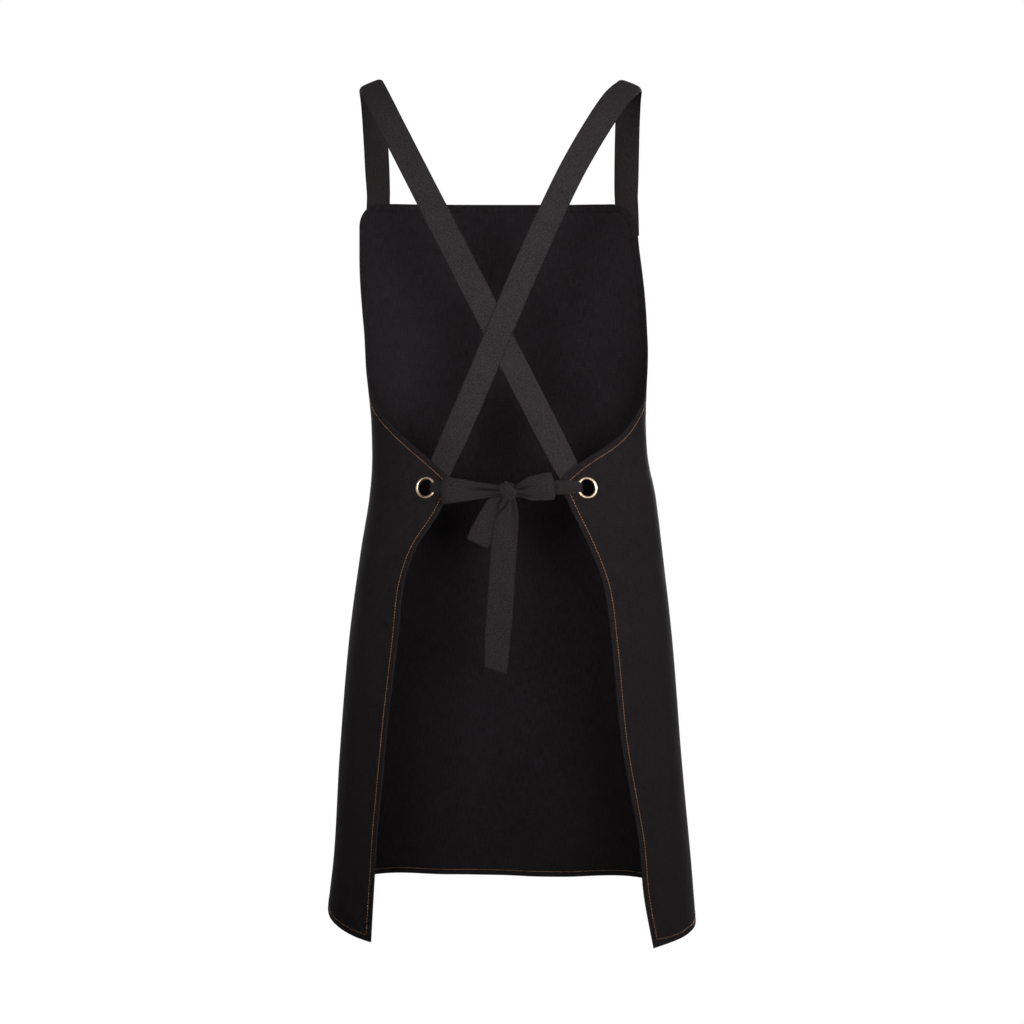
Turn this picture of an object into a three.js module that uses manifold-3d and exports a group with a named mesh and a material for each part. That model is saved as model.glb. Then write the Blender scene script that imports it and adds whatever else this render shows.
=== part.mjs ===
// Cross back work apron in its worn shape: one cloth panel with a bib, a skirt and two wings that
// reach round to the back, two shoulder straps that cross at the back, pass through a grommet in
// each wing tip and are tied in a bow.
// Millimetres. +Z up, +Y towards the bib, +X to the right seen from the back. The origin lies on
// the middle line, level with the places where the straps rest on the shoulders.
import * as THREE from "three";
import { mergeVertices } from "three/addons/utils/BufferGeometryUtils.js";
import Module from "manifold-3d";

// Panel sizes
const BIB_DROP = 156; // shoulder rest down to the bib's top edge
const FRONT_LENGTH = 942; // bib top edge down to the front hem
const SIDE_DROP = 29; // how much lower the hem hangs at the sides
const HEM_HALF_WIDTH = 246; // half the width across the hem, seen from the back
const FRONT_DEPTH = 150; // front hem ahead of the shoulders
const BACK_DEPTH = 193; // how far back the skirt would close behind
const BIB_CORNER = 33; // radius of the bib's top corners
const WALL = 1.2; // cloth
const HEM = 10; // width of the turned hem
const HEM_THICK = 2.4; // turned hem, folded to the inside
const HEM_STEP = 1.4; // width of the step where the hem ends
const SKIRT_FOLD = 3.5; // depth of the skirt's deepest fold at the hem
const FRONT_RISE = 0.0814; // slope of every level line, higher in front than behind
const TIP_SOFT = 5; // degrees over which the wing tip is rounded

// Strap and bow sizes
const TAPE_WIDTH = 34;
const TAPE_THICK = 1.5;
const TAPE_STEP = 30; // longest facet along a tape
const LOOP_STEP = 22; // and along a loop of the bow
const FOLD_WIDTH = 18.5; // strap folded in half, between the grommet and the knot
const FOLD_THICK = 3;
const BUNCH = 0.64; // width of the folded strap in the hole, a share of FOLD_WIDTH
const HOLE_SLACK = 0.68; // clearance between the folded strap and the hole's wall
const RIM_BEND = 3.6; // how far the strap draws back from the middle of the hole
const RIM_HUG = 2.6; // how far its edges bend along the hole's wall
const RIM_SWELL = 1.08; // how much wider the turn round the rim is than the rim
const SHOULDER_HALF = 175; // strap centre on the shoulder, from the middle
const SHOULDER_SKEW = -6; // both shoulders' shift to the left
const SHOULDER_ARCH = 90; // height over which a strap turns to lie flat on the shoulder
const STRAP_DEPTH = 123; // how far back the crossing lies
const STRAP_LAP = 45; // length sewn on the bib
const STRAP_SPREAD = 171; // strap centre from the middle, at the bib's top edge
const STRAP_SKEW = -3.5; // both straps' shift to the left there
const STRAP_ENTRY = { [-1]: 17, [1]: 23 }; // grommet to where the strap slips under each wing
const GAP = 0.3; // clearance between neighbouring pieces
const BOW_LEFT = 86; // knot centre to the end of each loop
const BOW_RIGHT = 60;
const LOOP_WIDTH = 36; // height of a loop at its outer end
const LOOP_DEPTH = 8;
const LOOP_OUT = 4.5; // how far the loops lie behind the knot's middle
const KNOT = { width: 26, depth: 17, height: 23.5 };
const WRAP = { slope: 0.8, half: 0.55, soft: 0.16, groove: 1.1 }; // slanting turn over the knot
const KNOT_BACK = 27; // knot centre behind the grommets
const KNOT_SHIFT = 2; // knot centre to the right of the middle of the grommets
const KNOT_LOW = 5.1; // knot centre below the grommets
const TAIL_LONG = 222;
const TAIL_SHORT = 68;
const TAIL_ROOT = 0.36; // root below the knot's middle, a share of its height
const TAIL_KICK = 3; // how far a tail's end stands out
const TAIL_CUP = 1.2; // hollow of a tail below the knot

// Grommet sizes
const GROMMET_BORE = 22;
const GROMMET_OUTER = 28.5;
const GROMMET_INSET = 36.5; // grommet centre from the wing tip
const BARREL_WALL = 0.5;
const FLANGE_RISE = 1.3;
const RIM_FLAT = 0.7; // half the width of the flange's flat crown
const WASHER_THICK = 0.8;
const LIP_REACH = 1.1; // the barrel's rolled lip over the washer
const FLAT_SPOT = 24; // cloth pressed flat around each grommet

// Body sections from the bib's top edge (level 0) to the hem (level 1). Half widths are shares of
// HEM_HALF_WIDTH, depths of FRONT_DEPTH and BACK_DEPTH.
const SECTIONS = [
  { level: 0.0, left: 0.94, right: 0.94, front: 0.72, back: 0.62 },
  { level: 0.12, left: 0.884, right: 0.88, front: 0.787, back: 0.6 },
  { level: 0.2, left: 0.815, right: 0.824, front: 0.787, back: 0.59 },
  { level: 0.27, left: 0.746, right: 0.773, front: 0.773, back: 0.59 },
  { level: 0.36, left: 0.7245, right: 0.777, front: 0.75, back: 0.6 },
  { level: 0.42, left: 0.738, right: 0.821, front: 0.757, back: 0.63 },
  { level: 0.5, left: 0.787, right: 0.861, front: 0.8, back: 0.73 },
  { level: 0.62, left: 0.847, right: 0.916, front: 0.86, back: 0.83 },
  { level: 0.78, left: 0.895, right: 0.97, front: 0.92, back: 0.92 },
  { level: 0.92, left: 0.923, right: 1.024, front: 0.973, back: 0.975 },
  { level: 1.0, left: 0.957, right: 1.05, front: 1.0, back: 1.0 },
];
const FRONT_ROUND = 2.6; // exponent of the oval ahead of the sides
const BACK_ROUND = 2.0; // and behind them

// How far each edge of the panel wraps round the body, in degrees from the front's middle.
const TIP_LEVEL = 0.402;
const ARMHOLE = [
  { level: 0.0, left: 71, right: 65.5 },
  { level: 0.08, left: 71.6, right: 67.5 },
  { level: 0.16, left: 73.2, right: 72.3 },
  { level: 0.22, left: 78, right: 79.2 },
  { level: 0.268, left: 91, right: 90.5 },
  { level: 0.3, left: 104.5, right: 102.5 },
  { level: 0.335, left: 120.5, right: 116 },
  { level: 0.37, left: 138, right: 137 },
  { level: 0.402, left: 154, right: 153 },
  { level: 0.44, left: 170, right: 169 },
];
const BACK_EDGE = [
  { level: 0.36, left: 156, right: 157 },
  { level: 0.402, left: 148, right: 147 },
  { level: 0.44, left: 141, right: 141 },
  { level: 0.48, left: 133.5, right: 136.5 },
  { level: 0.53, left: 129.8, right: 132.5 },
  { level: 0.6, left: 130, right: 132 },
  { level: 0.72, left: 128.7, right: 131.6 },
  { level: 0.8, left: 127.9, right: 129.2 },
  { level: 0.86, left: 127, right: 127.2 },
  { level: 0.93, left: 126.8, right: 126.7 },
  { level: 1.0, left: 127.2, right: 124 },
];

// How much lower than the front the hem hangs at each bearing, as shares of SIDE_DROP.
const HEM_LINE = [
  { around: 0, left: 0, right: 0 },
  { around: 30, left: -0.06, right: 0.06 },
  { around: 56, left: -0.36, right: -0.12 },
  { around: 72, left: -0.3, right: 0.2 },
  { around: 90, left: 0.03, right: 0.84 },
  { around: 104, left: 0.32, right: 0.88 },
  { around: 118, left: 0.56, right: 0.88 },
  { around: 130, left: 0.64, right: 0.96 },
];

// Soft upright folds of the skirt: bearing in degrees (left is minus), width in degrees, depth at
// the hem as a share of SKIRT_FOLD.
const FOLDS = [
  { bearing: -104, width: 13, depth: 1 },
  { bearing: -58, width: 12, depth: -0.86 },
  { bearing: -22, width: 10, depth: 0.86 },
  { bearing: 14, width: 11, depth: -0.7 },
  { bearing: 52, width: 12, depth: 0.86 },
  { bearing: 98, width: 13, depth: -0.86 },
];
const FOLD_START = 0.45; // level where the folds begin

// A strap's way from the shoulder down the back to its wing: way is the share of the drop, depth
// the share of STRAP_DEPTH, sway the share of SHOULDER_HALF towards the middle.
const BACK_WAY = [
  { way: 0.012, depth: 0.24, swayLeft: 0.0, swayRight: 0.01 },
  { way: 0.05, depth: 0.49, swayLeft: 0.0, swayRight: 0.055 },
  { way: 0.12, depth: 0.69, swayLeft: 0.0, swayRight: 0.092 },
  { way: 0.235, depth: 0.85, swayLeft: 0.0, swayRight: 0.121 },
  { way: 0.37, depth: 0.94, swayLeft: 0.0, swayRight: 0.118 },
  { way: 0.51, depth: 0.985, swayLeft: 0.0, swayRight: 0.1 },
  { way: 0.65, depth: 1.0, swayLeft: 0.0, swayRight: 0.07 },
  { way: 0.79, depth: 0.985, swayLeft: 0.0, swayRight: 0.04 },
  { way: 0.9, depth: 0.945, swayLeft: 0.0, swayRight: 0.02 },
];
const CROSS_WAY = 0.65; // the crossing, where the right strap lies over the left one
const CROSS_SPREAD = 0.3;

// A strap's way from the bib's top edge up to the shoulder: way is the share of the rise, depth the
// share of the depth at the bib.
const FRONT_WAY = [
  { way: 0.28, depth: 0.99 },
  { way: 0.62, depth: 0.88 },
  { way: 0.85, depth: 0.66 },
  { way: 0.965, depth: 0.34 },
];

// A strap inside its wing, in the grommet's own directions: tip is towards the wing tip and up along
// the cloth, both shares of TAPE_WIDTH, as width is; below is how much deeper than the rolled lip
// it lies, and thick and cup with it are shares of TAPE_THICK.
const UNDER_WING = [
  { tip: 0, up: 0.69, below: 0.47, width: 1, thick: 1, cup: 0 },
  { tip: 0.5, up: 0.324, below: 0.47, width: 0.8, thick: 1.3, cup: 0 },
  { tip: 0.456, up: 0.09, below: 0.53, width: 0.55, thick: 1.6, cup: 0.4 },
];
const RIM_TURNS = [-80, -45, 0, 45, 80]; // degrees round the rim of the hole

// The folded strap on the wing's face: tip is a share of GROMMET_OUTER, above of FOLD_THICK over
// the flange, width of FOLD_WIDTH.
const OVER_WING = [
  { tip: 0.63, above: 0.1, width: 0.95 },
  { tip: 1.05, above: -0.2, width: 1 },
  { tip: 1.51, above: -0.63, width: 1 },
];

// A loop of the bow: out is the share of its reach, depth of LOOP_DEPTH, and left and right its
// height as shares of LOOP_WIDTH.
const LOOP = [
  { out: 0.0, depth: 0.1, left: 0.34, right: 0.34 },
  { out: 0.12, depth: 0.18, left: 0.38, right: 0.46 },
  { out: 0.4, depth: 0.55, left: 0.62, right: 0.88 },
  { out: 0.75, depth: 0.8, left: 0.88, right: 0.98 },
  { out: 0.95, depth: 0.62, left: 1.0, right: 1.0 },
  { out: 1.0, depth: 0.0, left: 1.0, right: 1.0 },
  { out: 0.95, depth: -0.42, left: 0.98, right: 0.98 },
  { out: 0.75, depth: -0.5, left: 0.86, right: 0.94 },
  { out: 0.4, depth: -0.38, left: 0.6, right: 0.82 },
  { out: 0.12, depth: -0.24, left: 0.36, right: 0.42 },
  { out: 0.0, depth: -0.2, left: 0.32, right: 0.32 },
];
const LOOP_RISE = { [-1]: 1, [1]: 7 }; // degrees by which each loop points up

// A hanging end of the bow: sway is sideways, a share of its length, and width of TAPE_WIDTH.
const TAIL = [
  { share: 0.0, sway: 0.0, width: 0.5 },
  { share: 0.1, sway: 0.0, width: 0.82 },
  { share: 0.24, sway: -0.005, width: 0.97 },
  { share: 0.6, sway: 0.0, width: 1.0 },
  { share: 1.0, sway: 0.0, width: 1.0 },
];

const LEFT = -1;
const RIGHT = 1;
const SIDES = [LEFT, RIGHT];
const sideName = (side) => (side === LEFT ? "left" : "right");
const rad = THREE.MathUtils.degToRad;
const vec = (x, y, z) => new THREE.Vector3(x, y, z);

// Reads a column of a table at any level, on a smooth curve through its rows.
function column(table, key, name, at) {
  const last = table.length - 1;
  let i = 0;
  while (i < last - 1 && at > table[i + 1][key]) i += 1;
  const slope = (k) => {
    const a = Math.max(k - 1, 0);
    const b = Math.min(k + 1, last);
    return (table[b][name] - table[a][name]) / (table[b][key] - table[a][key]);
  };
  const span = table[i + 1][key] - table[i][key];
  const t = (at - table[i][key]) / span;
  const rise = table[i + 1][name] - table[i][name];
  const s0 = slope(i) * span;
  const s1 = slope(i + 1) * span;
  if (t < 0) return table[i][name] + t * s0;
  if (t > 1) return table[i + 1][name] + (t - 1) * s1;
  return table[i][name] + t * (s0 + t * (3 * rise - 2 * s0 - s1 + t * (s0 + s1 - 2 * rise)));
}

const clamp01 = (t) => Math.min(Math.max(t, 0), 1);
const ease = (t) => clamp01(t) * clamp01(t) * (3 - 2 * clamp01(t));

// The smaller of two values, with the corner between them rounded over a width.
function softMin(a, b, width) {
  const h = clamp01(0.5 + (b - a) / (2 * width));
  return b + (a - b) * h - width * h * (1 - h);
}

// Depth of the skirt's folds at a bearing.
function foldDepth(level, bearing) {
  const grow = ease((level - FOLD_START) / (1 - FOLD_START));
  let sum = 0;
  for (const fold of FOLDS) {
    sum += fold.depth * Math.exp(-(((bearing - fold.bearing) / fold.width) ** 2));
  }
  return SKIRT_FOLD * sum * grow;
}

// A point of the cloth's outer face, at a level and at so many degrees round one side.
function drape(side, level, around) {
  const half = column(SECTIONS, "level", sideName(side), level) * HEM_HALF_WIDTH;
  const ahead = column(SECTIONS, "level", "front", level) * FRONT_DEPTH;
  const behind = column(SECTIONS, "level", "back", level) * BACK_DEPTH;
  const s = Math.sin(rad(around));
  const c = Math.cos(rad(around));
  const power = c >= 0 ? FRONT_ROUND : BACK_ROUND;
  const depth = c >= 0 ? ahead : behind;
  const reach = (Math.abs(s) / half) ** power + (Math.abs(c) / depth) ** power;
  const radius = reach ** (-1 / power) + foldDepth(level, side * around);
  const skirt = Math.max(0, (level - TIP_LEVEL) / (1 - TIP_LEVEL));
  const sag = SIDE_DROP * skirt * column(HEM_LINE, "around", sideName(side), around);
  const rise = FRONT_RISE * radius * c;
  return vec(side * radius * s, radius * c, rise - BIB_DROP - FRONT_LENGTH * level - sag);
}

// The outward direction of a surface of the same two coordinates.
function normalOf(surface, side, level, around) {
  const d = 0.002;
  const down = surface(side, level + d, around).sub(surface(side, level - d, around));
  const on = surface(side, level, around + 0.5).sub(surface(side, level, around - 0.5));
  return on.cross(down).normalize().multiplyScalar(side);
}

const wrap = (side, level) =>
  softMin(
    column(ARMHOLE, "level", sideName(side), level),
    column(BACK_EDGE, "level", sideName(side), level),
    TIP_SOFT,
  );

// Millimetres along the cloth for one degree round it.
const perDegree = (side, level, around) =>
  drape(side, level, around + 0.5).distanceTo(drape(side, level, around - 0.5));

// The place and directions of each grommet: along runs towards the wing tip.
function grommetSeat(side) {
  const tip = wrap(side, TIP_LEVEL);
  const around = tip - GROMMET_INSET / perDegree(side, TIP_LEVEL, tip - 8);
  const centre = drape(side, TIP_LEVEL, around);
  const out = normalOf(drape, side, TIP_LEVEL, around);
  const up = vec(0, 0, 1).addScaledVector(out, -out.z).normalize();
  const along = out.clone().cross(up).multiplyScalar(side);
  return { side, around, centre, out, along, up };
}
const SEATS = { [LEFT]: grommetSeat(LEFT), [RIGHT]: grommetSeat(RIGHT) };

// The cloth's outer face, pressed flat around the grommets.
function cloth(side, level, around) {
  const p = drape(side, level, around);
  const seat = SEATS[side];
  const off = p.clone().sub(seat.centre);
  const height = off.dot(seat.out);
  const near = 1 - ease((off.length() - FLAT_SPOT) / FLAT_SPOT);
  return p.addScaledVector(seat.out, -height * near);
}

// A closed solid from rows of points: the last row and point of each ring meet nothing.
function shellSolid(outer, inner) {
  const rows = outer.length;
  const cols = outer[0].length;
  const points = [];
  for (const face of [outer, inner]) for (const row of face) points.push(...row);
  const at = (face, r, c) => (face * rows + r) * cols + c;
  const index = [];
  const quad = (a, b, c, d) => index.push(a, b, c, a, c, d);
  for (let r = 0; r < rows - 1; r += 1) {
    for (let c = 0; c < cols - 1; c += 1) {
      quad(at(0, r, c), at(0, r, c + 1), at(0, r + 1, c + 1), at(0, r + 1, c));
      quad(at(1, r, c), at(1, r + 1, c), at(1, r + 1, c + 1), at(1, r, c + 1));
    }
  }
  for (let r = 0; r < rows - 1; r += 1) {
    quad(at(0, r, 0), at(0, r + 1, 0), at(1, r + 1, 0), at(1, r, 0));
    quad(at(0, r, cols - 1), at(1, r, cols - 1), at(1, r + 1, cols - 1), at(0, r + 1, cols - 1));
  }
  for (let c = 0; c < cols - 1; c += 1) {
    quad(at(0, 0, c), at(1, 0, c), at(1, 0, c + 1), at(0, 0, c + 1));
    quad(at(0, rows - 1, c), at(0, rows - 1, c + 1), at(1, rows - 1, c + 1), at(1, rows - 1, c));
  }
  return meshed(points, index);
}

function meshed(points, index) {
  const geometry = new THREE.BufferGeometry();
  geometry.setAttribute(
    "position",
    new THREE.Float32BufferAttribute(points.flatMap((p) => [p.x, p.y, p.z]), 3),
  );
  geometry.setIndex(index);
  geometry.computeVertexNormals();
  return geometry;
}

const wasm = await Module();
wasm.setup();

// Turns a closed geometry into a solid, facing outwards.
function solidOf(geometry) {
  const bare = geometry.clone();
  bare.deleteAttribute("normal");
  bare.deleteAttribute("uv");
  const merged = mergeVertices(bare, 1e-4);
  return new wasm.Manifold(
    new wasm.Mesh({
      numProp: 3,
      vertProperties: merged.attributes.position.array,
      triVerts: new Uint32Array(merged.index.array),
    }),
  );
}

function geometryOf(solid) {
  const made = solid.getMesh();
  const geometry = new THREE.BufferGeometry();
  geometry.setAttribute("position", new THREE.BufferAttribute(made.vertProperties, 3));
  geometry.setIndex(new THREE.BufferAttribute(made.triVerts, 1));
  geometry.computeVertexNormals();
  return geometry;
}

const cut = (geometry, ...tools) => {
  let solid = solidOf(geometry);
  for (const tool of tools) solid = solid.subtract(solidOf(tool));
  return geometryOf(solid);
};

// Levels of the panel's rows: the rounded corners, the hems and closer rows at the wing tips.
function panelLevels() {
  const corner = [0, 22, 44, 63, 90].map((a) => BIB_CORNER * (1 - Math.cos(rad(a))));
  const top = [...corner, HEM, HEM + HEM_STEP].map((d) => d / FRONT_LENGTH);
  const bib = [0.07, 0.115, 0.16, 0.2, 0.235, 0.265, 0.29, 0.312, 0.332, 0.35, 0.366];
  const tip = [-0.024, -0.012, 0, 0.012, 0.024, 0.038, 0.055].map((d) => TIP_LEVEL + d);
  const skirt = [0.49, 0.53, 0.58, 0.64, 0.71, 0.78, 0.85, 0.92];
  const hem = [HEM + HEM_STEP, HEM, 0].map((d) => 1 - d / FRONT_LENGTH);
  return [...top, ...bib, ...tip, ...skirt, ...hem].sort((a, b) => a - b);
}

// How much the bib's rounded top corners take off each end of a row.
function cornerCut(drop) {
  if (drop >= BIB_CORNER) return 0;
  return BIB_CORNER - Math.sqrt(BIB_CORNER ** 2 - (BIB_CORNER - drop) ** 2);
}

const edgeAround = (side, level) =>
  wrap(side, level) - cornerCut(FRONT_LENGTH * level) / perDegree(side, level, wrap(side, level) - 3);

const EDGE_ROWS = [2.5 * HEM, 4.2 * HEM, 5.9 * HEM];
const ROW_POINTS = 11; // points from the last edge row to the middle

// Bearings of one side's points in a row, from the edge to the middle, and whether each is hem.
function rowBearings(side, level) {
  const edge = edgeAround(side, level);
  const step = 0.004;
  const above = Math.max(level - step, 0);
  const below = Math.min(level + step, 1);
  const scale = perDegree(side, level, edge - 3);
  const run = ((edgeAround(side, below) - edgeAround(side, above)) * scale) / (below - above);
  const slant = Math.min(Math.hypot(1, run / FRONT_LENGTH), 1.8);
  const border = [0, HEM * slant, (HEM + HEM_STEP) * slant, ...EDGE_ROWS].map((d) => edge - d / scale);
  const inner = border[border.length - 1];
  const rest = Array.from({ length: ROW_POINTS }, (_, i) => inner * (1 - (i + 1) / ROW_POINTS));
  return [...border, ...rest].map((around, i) => ({ around, hem: i < 2 }));
}

function panelGeometry() {
  const outer = [];
  const inner = [];
  const hemLevel = HEM / FRONT_LENGTH + 1e-6;
  for (const level of panelLevels()) {
    const inHem = level < hemLevel || level > 1 - hemLevel;
    const left = rowBearings(LEFT, level).map((b) => ({ ...b, side: LEFT }));
    const right = rowBearings(RIGHT, level).map((b) => ({ ...b, side: RIGHT }));
    const row = [...left, ...right.reverse().slice(1)];
    const faces = row.map(({ side, around, hem }) => {
      const p = cloth(side, level, around);
      const thick = hem || inHem ? HEM_THICK : WALL;
      const n = around < 0.01 ? vec(0, 1, 0) : normalOf(cloth, side, level, around);
      return { p, q: p.clone().addScaledVector(n, -thick) };
    });
    outer.push(faces.map((f) => f.p));
    inner.push(faces.map((f) => f.q));
  }
  return shellSolid(outer, inner);
}

// Turns a geometry with its axis on Y to a grommet's place and direction.
function seated(geometry, seat) {
  const turn = new THREE.Quaternion().setFromUnitVectors(vec(0, 1, 0), seat.out);
  return geometry.applyQuaternion(turn).translate(...seat.centre.toArray());
}

const BORE_R = GROMMET_BORE / 2;
const BARREL_R = BORE_R + BARREL_WALL;
const FLANGE_R = GROMMET_OUTER / 2;
const WASHER_TOP = -WALL - GAP;
const WASHER_LOW = WASHER_TOP - WASHER_THICK;
const LIP_LOW = WASHER_LOW - GAP - BARREL_WALL;

function panelWithHoles() {
  const tools = SIDES.map((side) => {
    const drill = new THREE.CylinderGeometry(BARREL_R + GAP, BARREL_R + GAP, 6 * HEM_THICK, 24);
    return seated(drill, SEATS[side]);
  });
  return cut(panelGeometry(), ...tools);
}

const ringOf = (profile) =>
  new THREE.LatheGeometry(profile.map(([r, h]) => new THREE.Vector2(r, h)), 24);

function eyeletGeometry(seat) {
  const top = GAP + FLANGE_RISE;
  const middle = (BORE_R + FLANGE_R) / 2;
  return seated(
    ringOf([
      [BORE_R, LIP_LOW],
      [BARREL_R + LIP_REACH, LIP_LOW],
      [BARREL_R + LIP_REACH, WASHER_LOW - GAP],
      [BARREL_R, WASHER_LOW - GAP],
      [BARREL_R, GAP],
      [FLANGE_R, GAP],
      [FLANGE_R, GAP + FLANGE_RISE * 0.45],
      [middle + RIM_FLAT, top],
      [middle - RIM_FLAT, top],
      [BORE_R, GAP + FLANGE_RISE * 0.5],
      [BORE_R, LIP_LOW],
    ]),
    seat,
  );
}

function washerGeometry(seat) {
  return seated(
    ringOf([
      [BARREL_R + GAP, WASHER_LOW],
      [FLANGE_R, WASHER_LOW],
      [FLANGE_R, WASHER_TOP],
      [BARREL_R + GAP, WASHER_TOP],
      [BARREL_R + GAP, WASHER_LOW],
    ]),
    seat,
  );
}

// A flat tape along a route. Each stop has a place, the way its face looks, a width, a thickness
// and a cup, which is how far its two edges lie below its middle.
function tapeGeometry(stops, finest) {
  const curve = new THREE.CatmullRomCurve3(stops.map((s) => s.place), false, "centripetal");
  const last = stops.length - 1;
  const rings = [];
  for (let i = 0; i < last; i += 1) {
    const span = stops[i].place.distanceTo(stops[i + 1].place);
    const steps = Math.max(1, Math.min(4, Math.round(span / finest)));
    for (let k = 0; k < steps + (i === last - 1 ? 1 : 0); k += 1) {
      const t = k / steps;
      const mix = (name) => THREE.MathUtils.lerp(stops[i][name], stops[i + 1][name], t);
      const face = stops[i].face.clone().lerp(stops[i + 1].face, t);
      const centre = curve.getPoint((i + t) / last);
      const ahead = curve.getTangent((i + t) / last);
      face.addScaledVector(ahead, -face.dot(ahead)).normalize();
      const across = ahead.clone().cross(face);
      rings.push(tapeRing(centre, across, face, mix("width"), mix("thick"), mix("cup")));
    }
  }
  return tubeSolid(rings);
}

function tapeRing(centre, across, face, width, thick, cup) {
  const spot = (w, h) =>
    centre
      .clone()
      .addScaledVector(across, (w * width) / 2)
      .addScaledVector(face, (h * thick) / 2 - cup * w * w);
  return [spot(-1, 1), spot(0, 1), spot(1, 1), spot(1, -1), spot(0, -1), spot(-1, -1)];
}

// A closed solid through rings of points, flat at both ends.
function tubeSolid(rings) {
  const n = rings[0].length;
  const index = [];
  for (let r = 0; r < rings.length - 1; r += 1) {
    for (let k = 0; k < n; k += 1) {
      const a = r * n + k;
      const b = r * n + ((k + 1) % n);
      index.push(a, b, b + n, a, b + n, a + n);
    }
  }
  const end = (rings.length - 1) * n;
  for (const [a, b, c] of [[0, 1, 5], [1, 4, 5], [1, 2, 4], [2, 3, 4]]) {
    index.push(a, c, b);
    index.push(end + a, end + b, end + c);
  }
  return meshed(rings.flat(), index);
}

// The direction away from the body's core, which a strap's face looks in.
const SIDE_LOOK_FRONT = 0.08;
const SIDE_LOOK_BACK = 0.21;
function awayFromCore(p) {
  const aside = p.y > 0 ? SIDE_LOOK_FRONT : SIDE_LOOK_BACK;
  return vec(aside * p.x, p.y, p.z + Math.max(-p.z, SHOULDER_ARCH)).normalize();
}

const plain = (place, face) => ({ place, face, width: TAPE_WIDTH, thick: TAPE_THICK, cup: 0 });

const KNOT_AT = SEATS[LEFT].centre
  .clone()
  .add(SEATS[RIGHT].centre)
  .multiplyScalar(0.5)
  .add(vec(KNOT_SHIFT, -KNOT_BACK, -KNOT_LOW));

// The bearing at which the bib's top edge lies so far from the middle.
function bearingOf(side, x) {
  let near = 0;
  let far = 90;
  for (let i = 0; i < 30; i += 1) {
    const middle = (near + far) / 2;
    if (Math.abs(drape(side, 0, middle).x) < Math.abs(x)) near = middle;
    else far = middle;
  }
  return near;
}

const LAP_STOPS = [1, 0.66, 0.33, 0.09, -0.22]; // shares of STRAP_LAP below the bib's top edge

// The sewn end of a strap on the bib's outer face, from its low end up to the bib's top edge.
function sewnStops(side) {
  const around = bearingOf(side, side * STRAP_SPREAD + STRAP_SKEW);
  const lift = GAP + TAPE_THICK / 2;
  return LAP_STOPS.map((share) => {
    const level = (share * STRAP_LAP) / FRONT_LENGTH;
    const n = normalOf(cloth, side, Math.max(level, 0), around);
    return plain(cloth(side, level, around).addScaledVector(n, lift), n);
  });
}

// A strap's stops in a grommet's own directions: towards the tip, up and out of the cloth.
function localStop(seat, tip, up, out, width, thick, cup, face) {
  const place = seat.centre
    .clone()
    .addScaledVector(seat.along, tip)
    .addScaledVector(seat.up, up)
    .addScaledVector(seat.out, out);
  const look = seat.along.clone().multiplyScalar(face[0]).addScaledVector(seat.out, face[1]);
  return { place, face: look.normalize(), width, thick, cup };
}

// Inside the wing, through the grommet's hole round its rim and out towards the tip.
function grommetStops(side) {
  const seat = SEATS[side];
  const lowest = LIP_LOW - GAP - FOLD_THICK / 2;
  const highest = GAP + FLANGE_RISE + GAP + FOLD_THICK / 2;
  const inHole = BORE_R - GAP - FOLD_THICK / 2 - HOLE_SLACK;
  const tall = (RIM_SWELL * (highest - lowest)) / 2;
  const under = UNDER_WING.map((row, i) => {
    const tip = i === 0 ? STRAP_ENTRY[side] : row.tip * TAPE_WIDTH;
    const out = lowest - row.below * TAPE_THICK;
    const [width, thick, cup] = [row.width * TAPE_WIDTH, row.thick * TAPE_THICK, row.cup * TAPE_THICK];
    return localStop(seat, tip, row.up * TAPE_WIDTH, out, width, thick, cup, [0, 1]);
  });
  const round = RIM_TURNS.map((turn) => {
    const c = Math.cos(rad(turn));
    const s = Math.sin(rad(turn));
    const tip = inHole + RIM_BEND * (1 - c);
    const out = (lowest + highest) / 2 + tall * s;
    return localStop(seat, tip, 0, out, FOLD_WIDTH * BUNCH, FOLD_THICK, RIM_HUG * c, [c, -s]);
  });
  const over = OVER_WING.map((row) => {
    const out = highest + row.above * FOLD_THICK;
    const width = row.width * FOLD_WIDTH;
    return localStop(seat, row.tip * GROMMET_OUTER, 0, out, width, FOLD_THICK, 0, [0, -1]);
  });
  return [...under, ...round, ...over];
}

const shoulderAt = (side) => vec(side * SHOULDER_HALF + SHOULDER_SKEW, 0, TAPE_THICK / 2);

// The stretch from the bib over the shoulder, down the back and across to the other side's wing.
function carriedStops(side, from, to) {
  const top = shoulderAt(side);
  const swayName = side === LEFT ? "swayLeft" : "swayRight";
  const stops = FRONT_WAY.map(({ way, depth }) => {
    const p = from.clone().lerp(top, way);
    const straight = p.y;
    return p.setY(from.y * depth).add(vec(0, 0, FRONT_RISE * (p.y - straight)));
  });
  stops.push(top);
  for (const row of BACK_WAY) {
    const p = top.clone().lerp(to, row.way);
    const straight = p.y;
    const lift = side === RIGHT ? TAPE_THICK + 2 * GAP : 0;
    const near = 1 - ease((Math.abs(row.way - CROSS_WAY) - CROSS_SPREAD / 2) / CROSS_SPREAD);
    p.y = -STRAP_DEPTH * row.depth - lift * near;
    p.x -= side * row[swayName] * SHOULDER_HALF;
    p.z += FRONT_RISE * (p.y - straight);
    stops.push(p);
  }
  return stops.map((p) => plain(p, awayFromCore(p)));
}

function strapGeometry(side) {
  const sewn = sewnStops(side);
  const through = grommetStops(-side);
  const carried = carriedStops(side, sewn[sewn.length - 1].place, through[0].place);
  const last = through[through.length - 1];
  const inKnot = {
    ...last,
    place: KNOT_AT.clone().add(vec(-side * KNOT.width * 0.3, KNOT.depth * 0.18, 0)),
    face: vec(0, 1, 0),
    width: FOLD_WIDTH * 0.9,
  };
  const tape = tapeGeometry([...sewn, ...carried, ...through, inKnot], TAPE_STEP);
  return cut(tape, knotGeometry(GAP));
}

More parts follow.
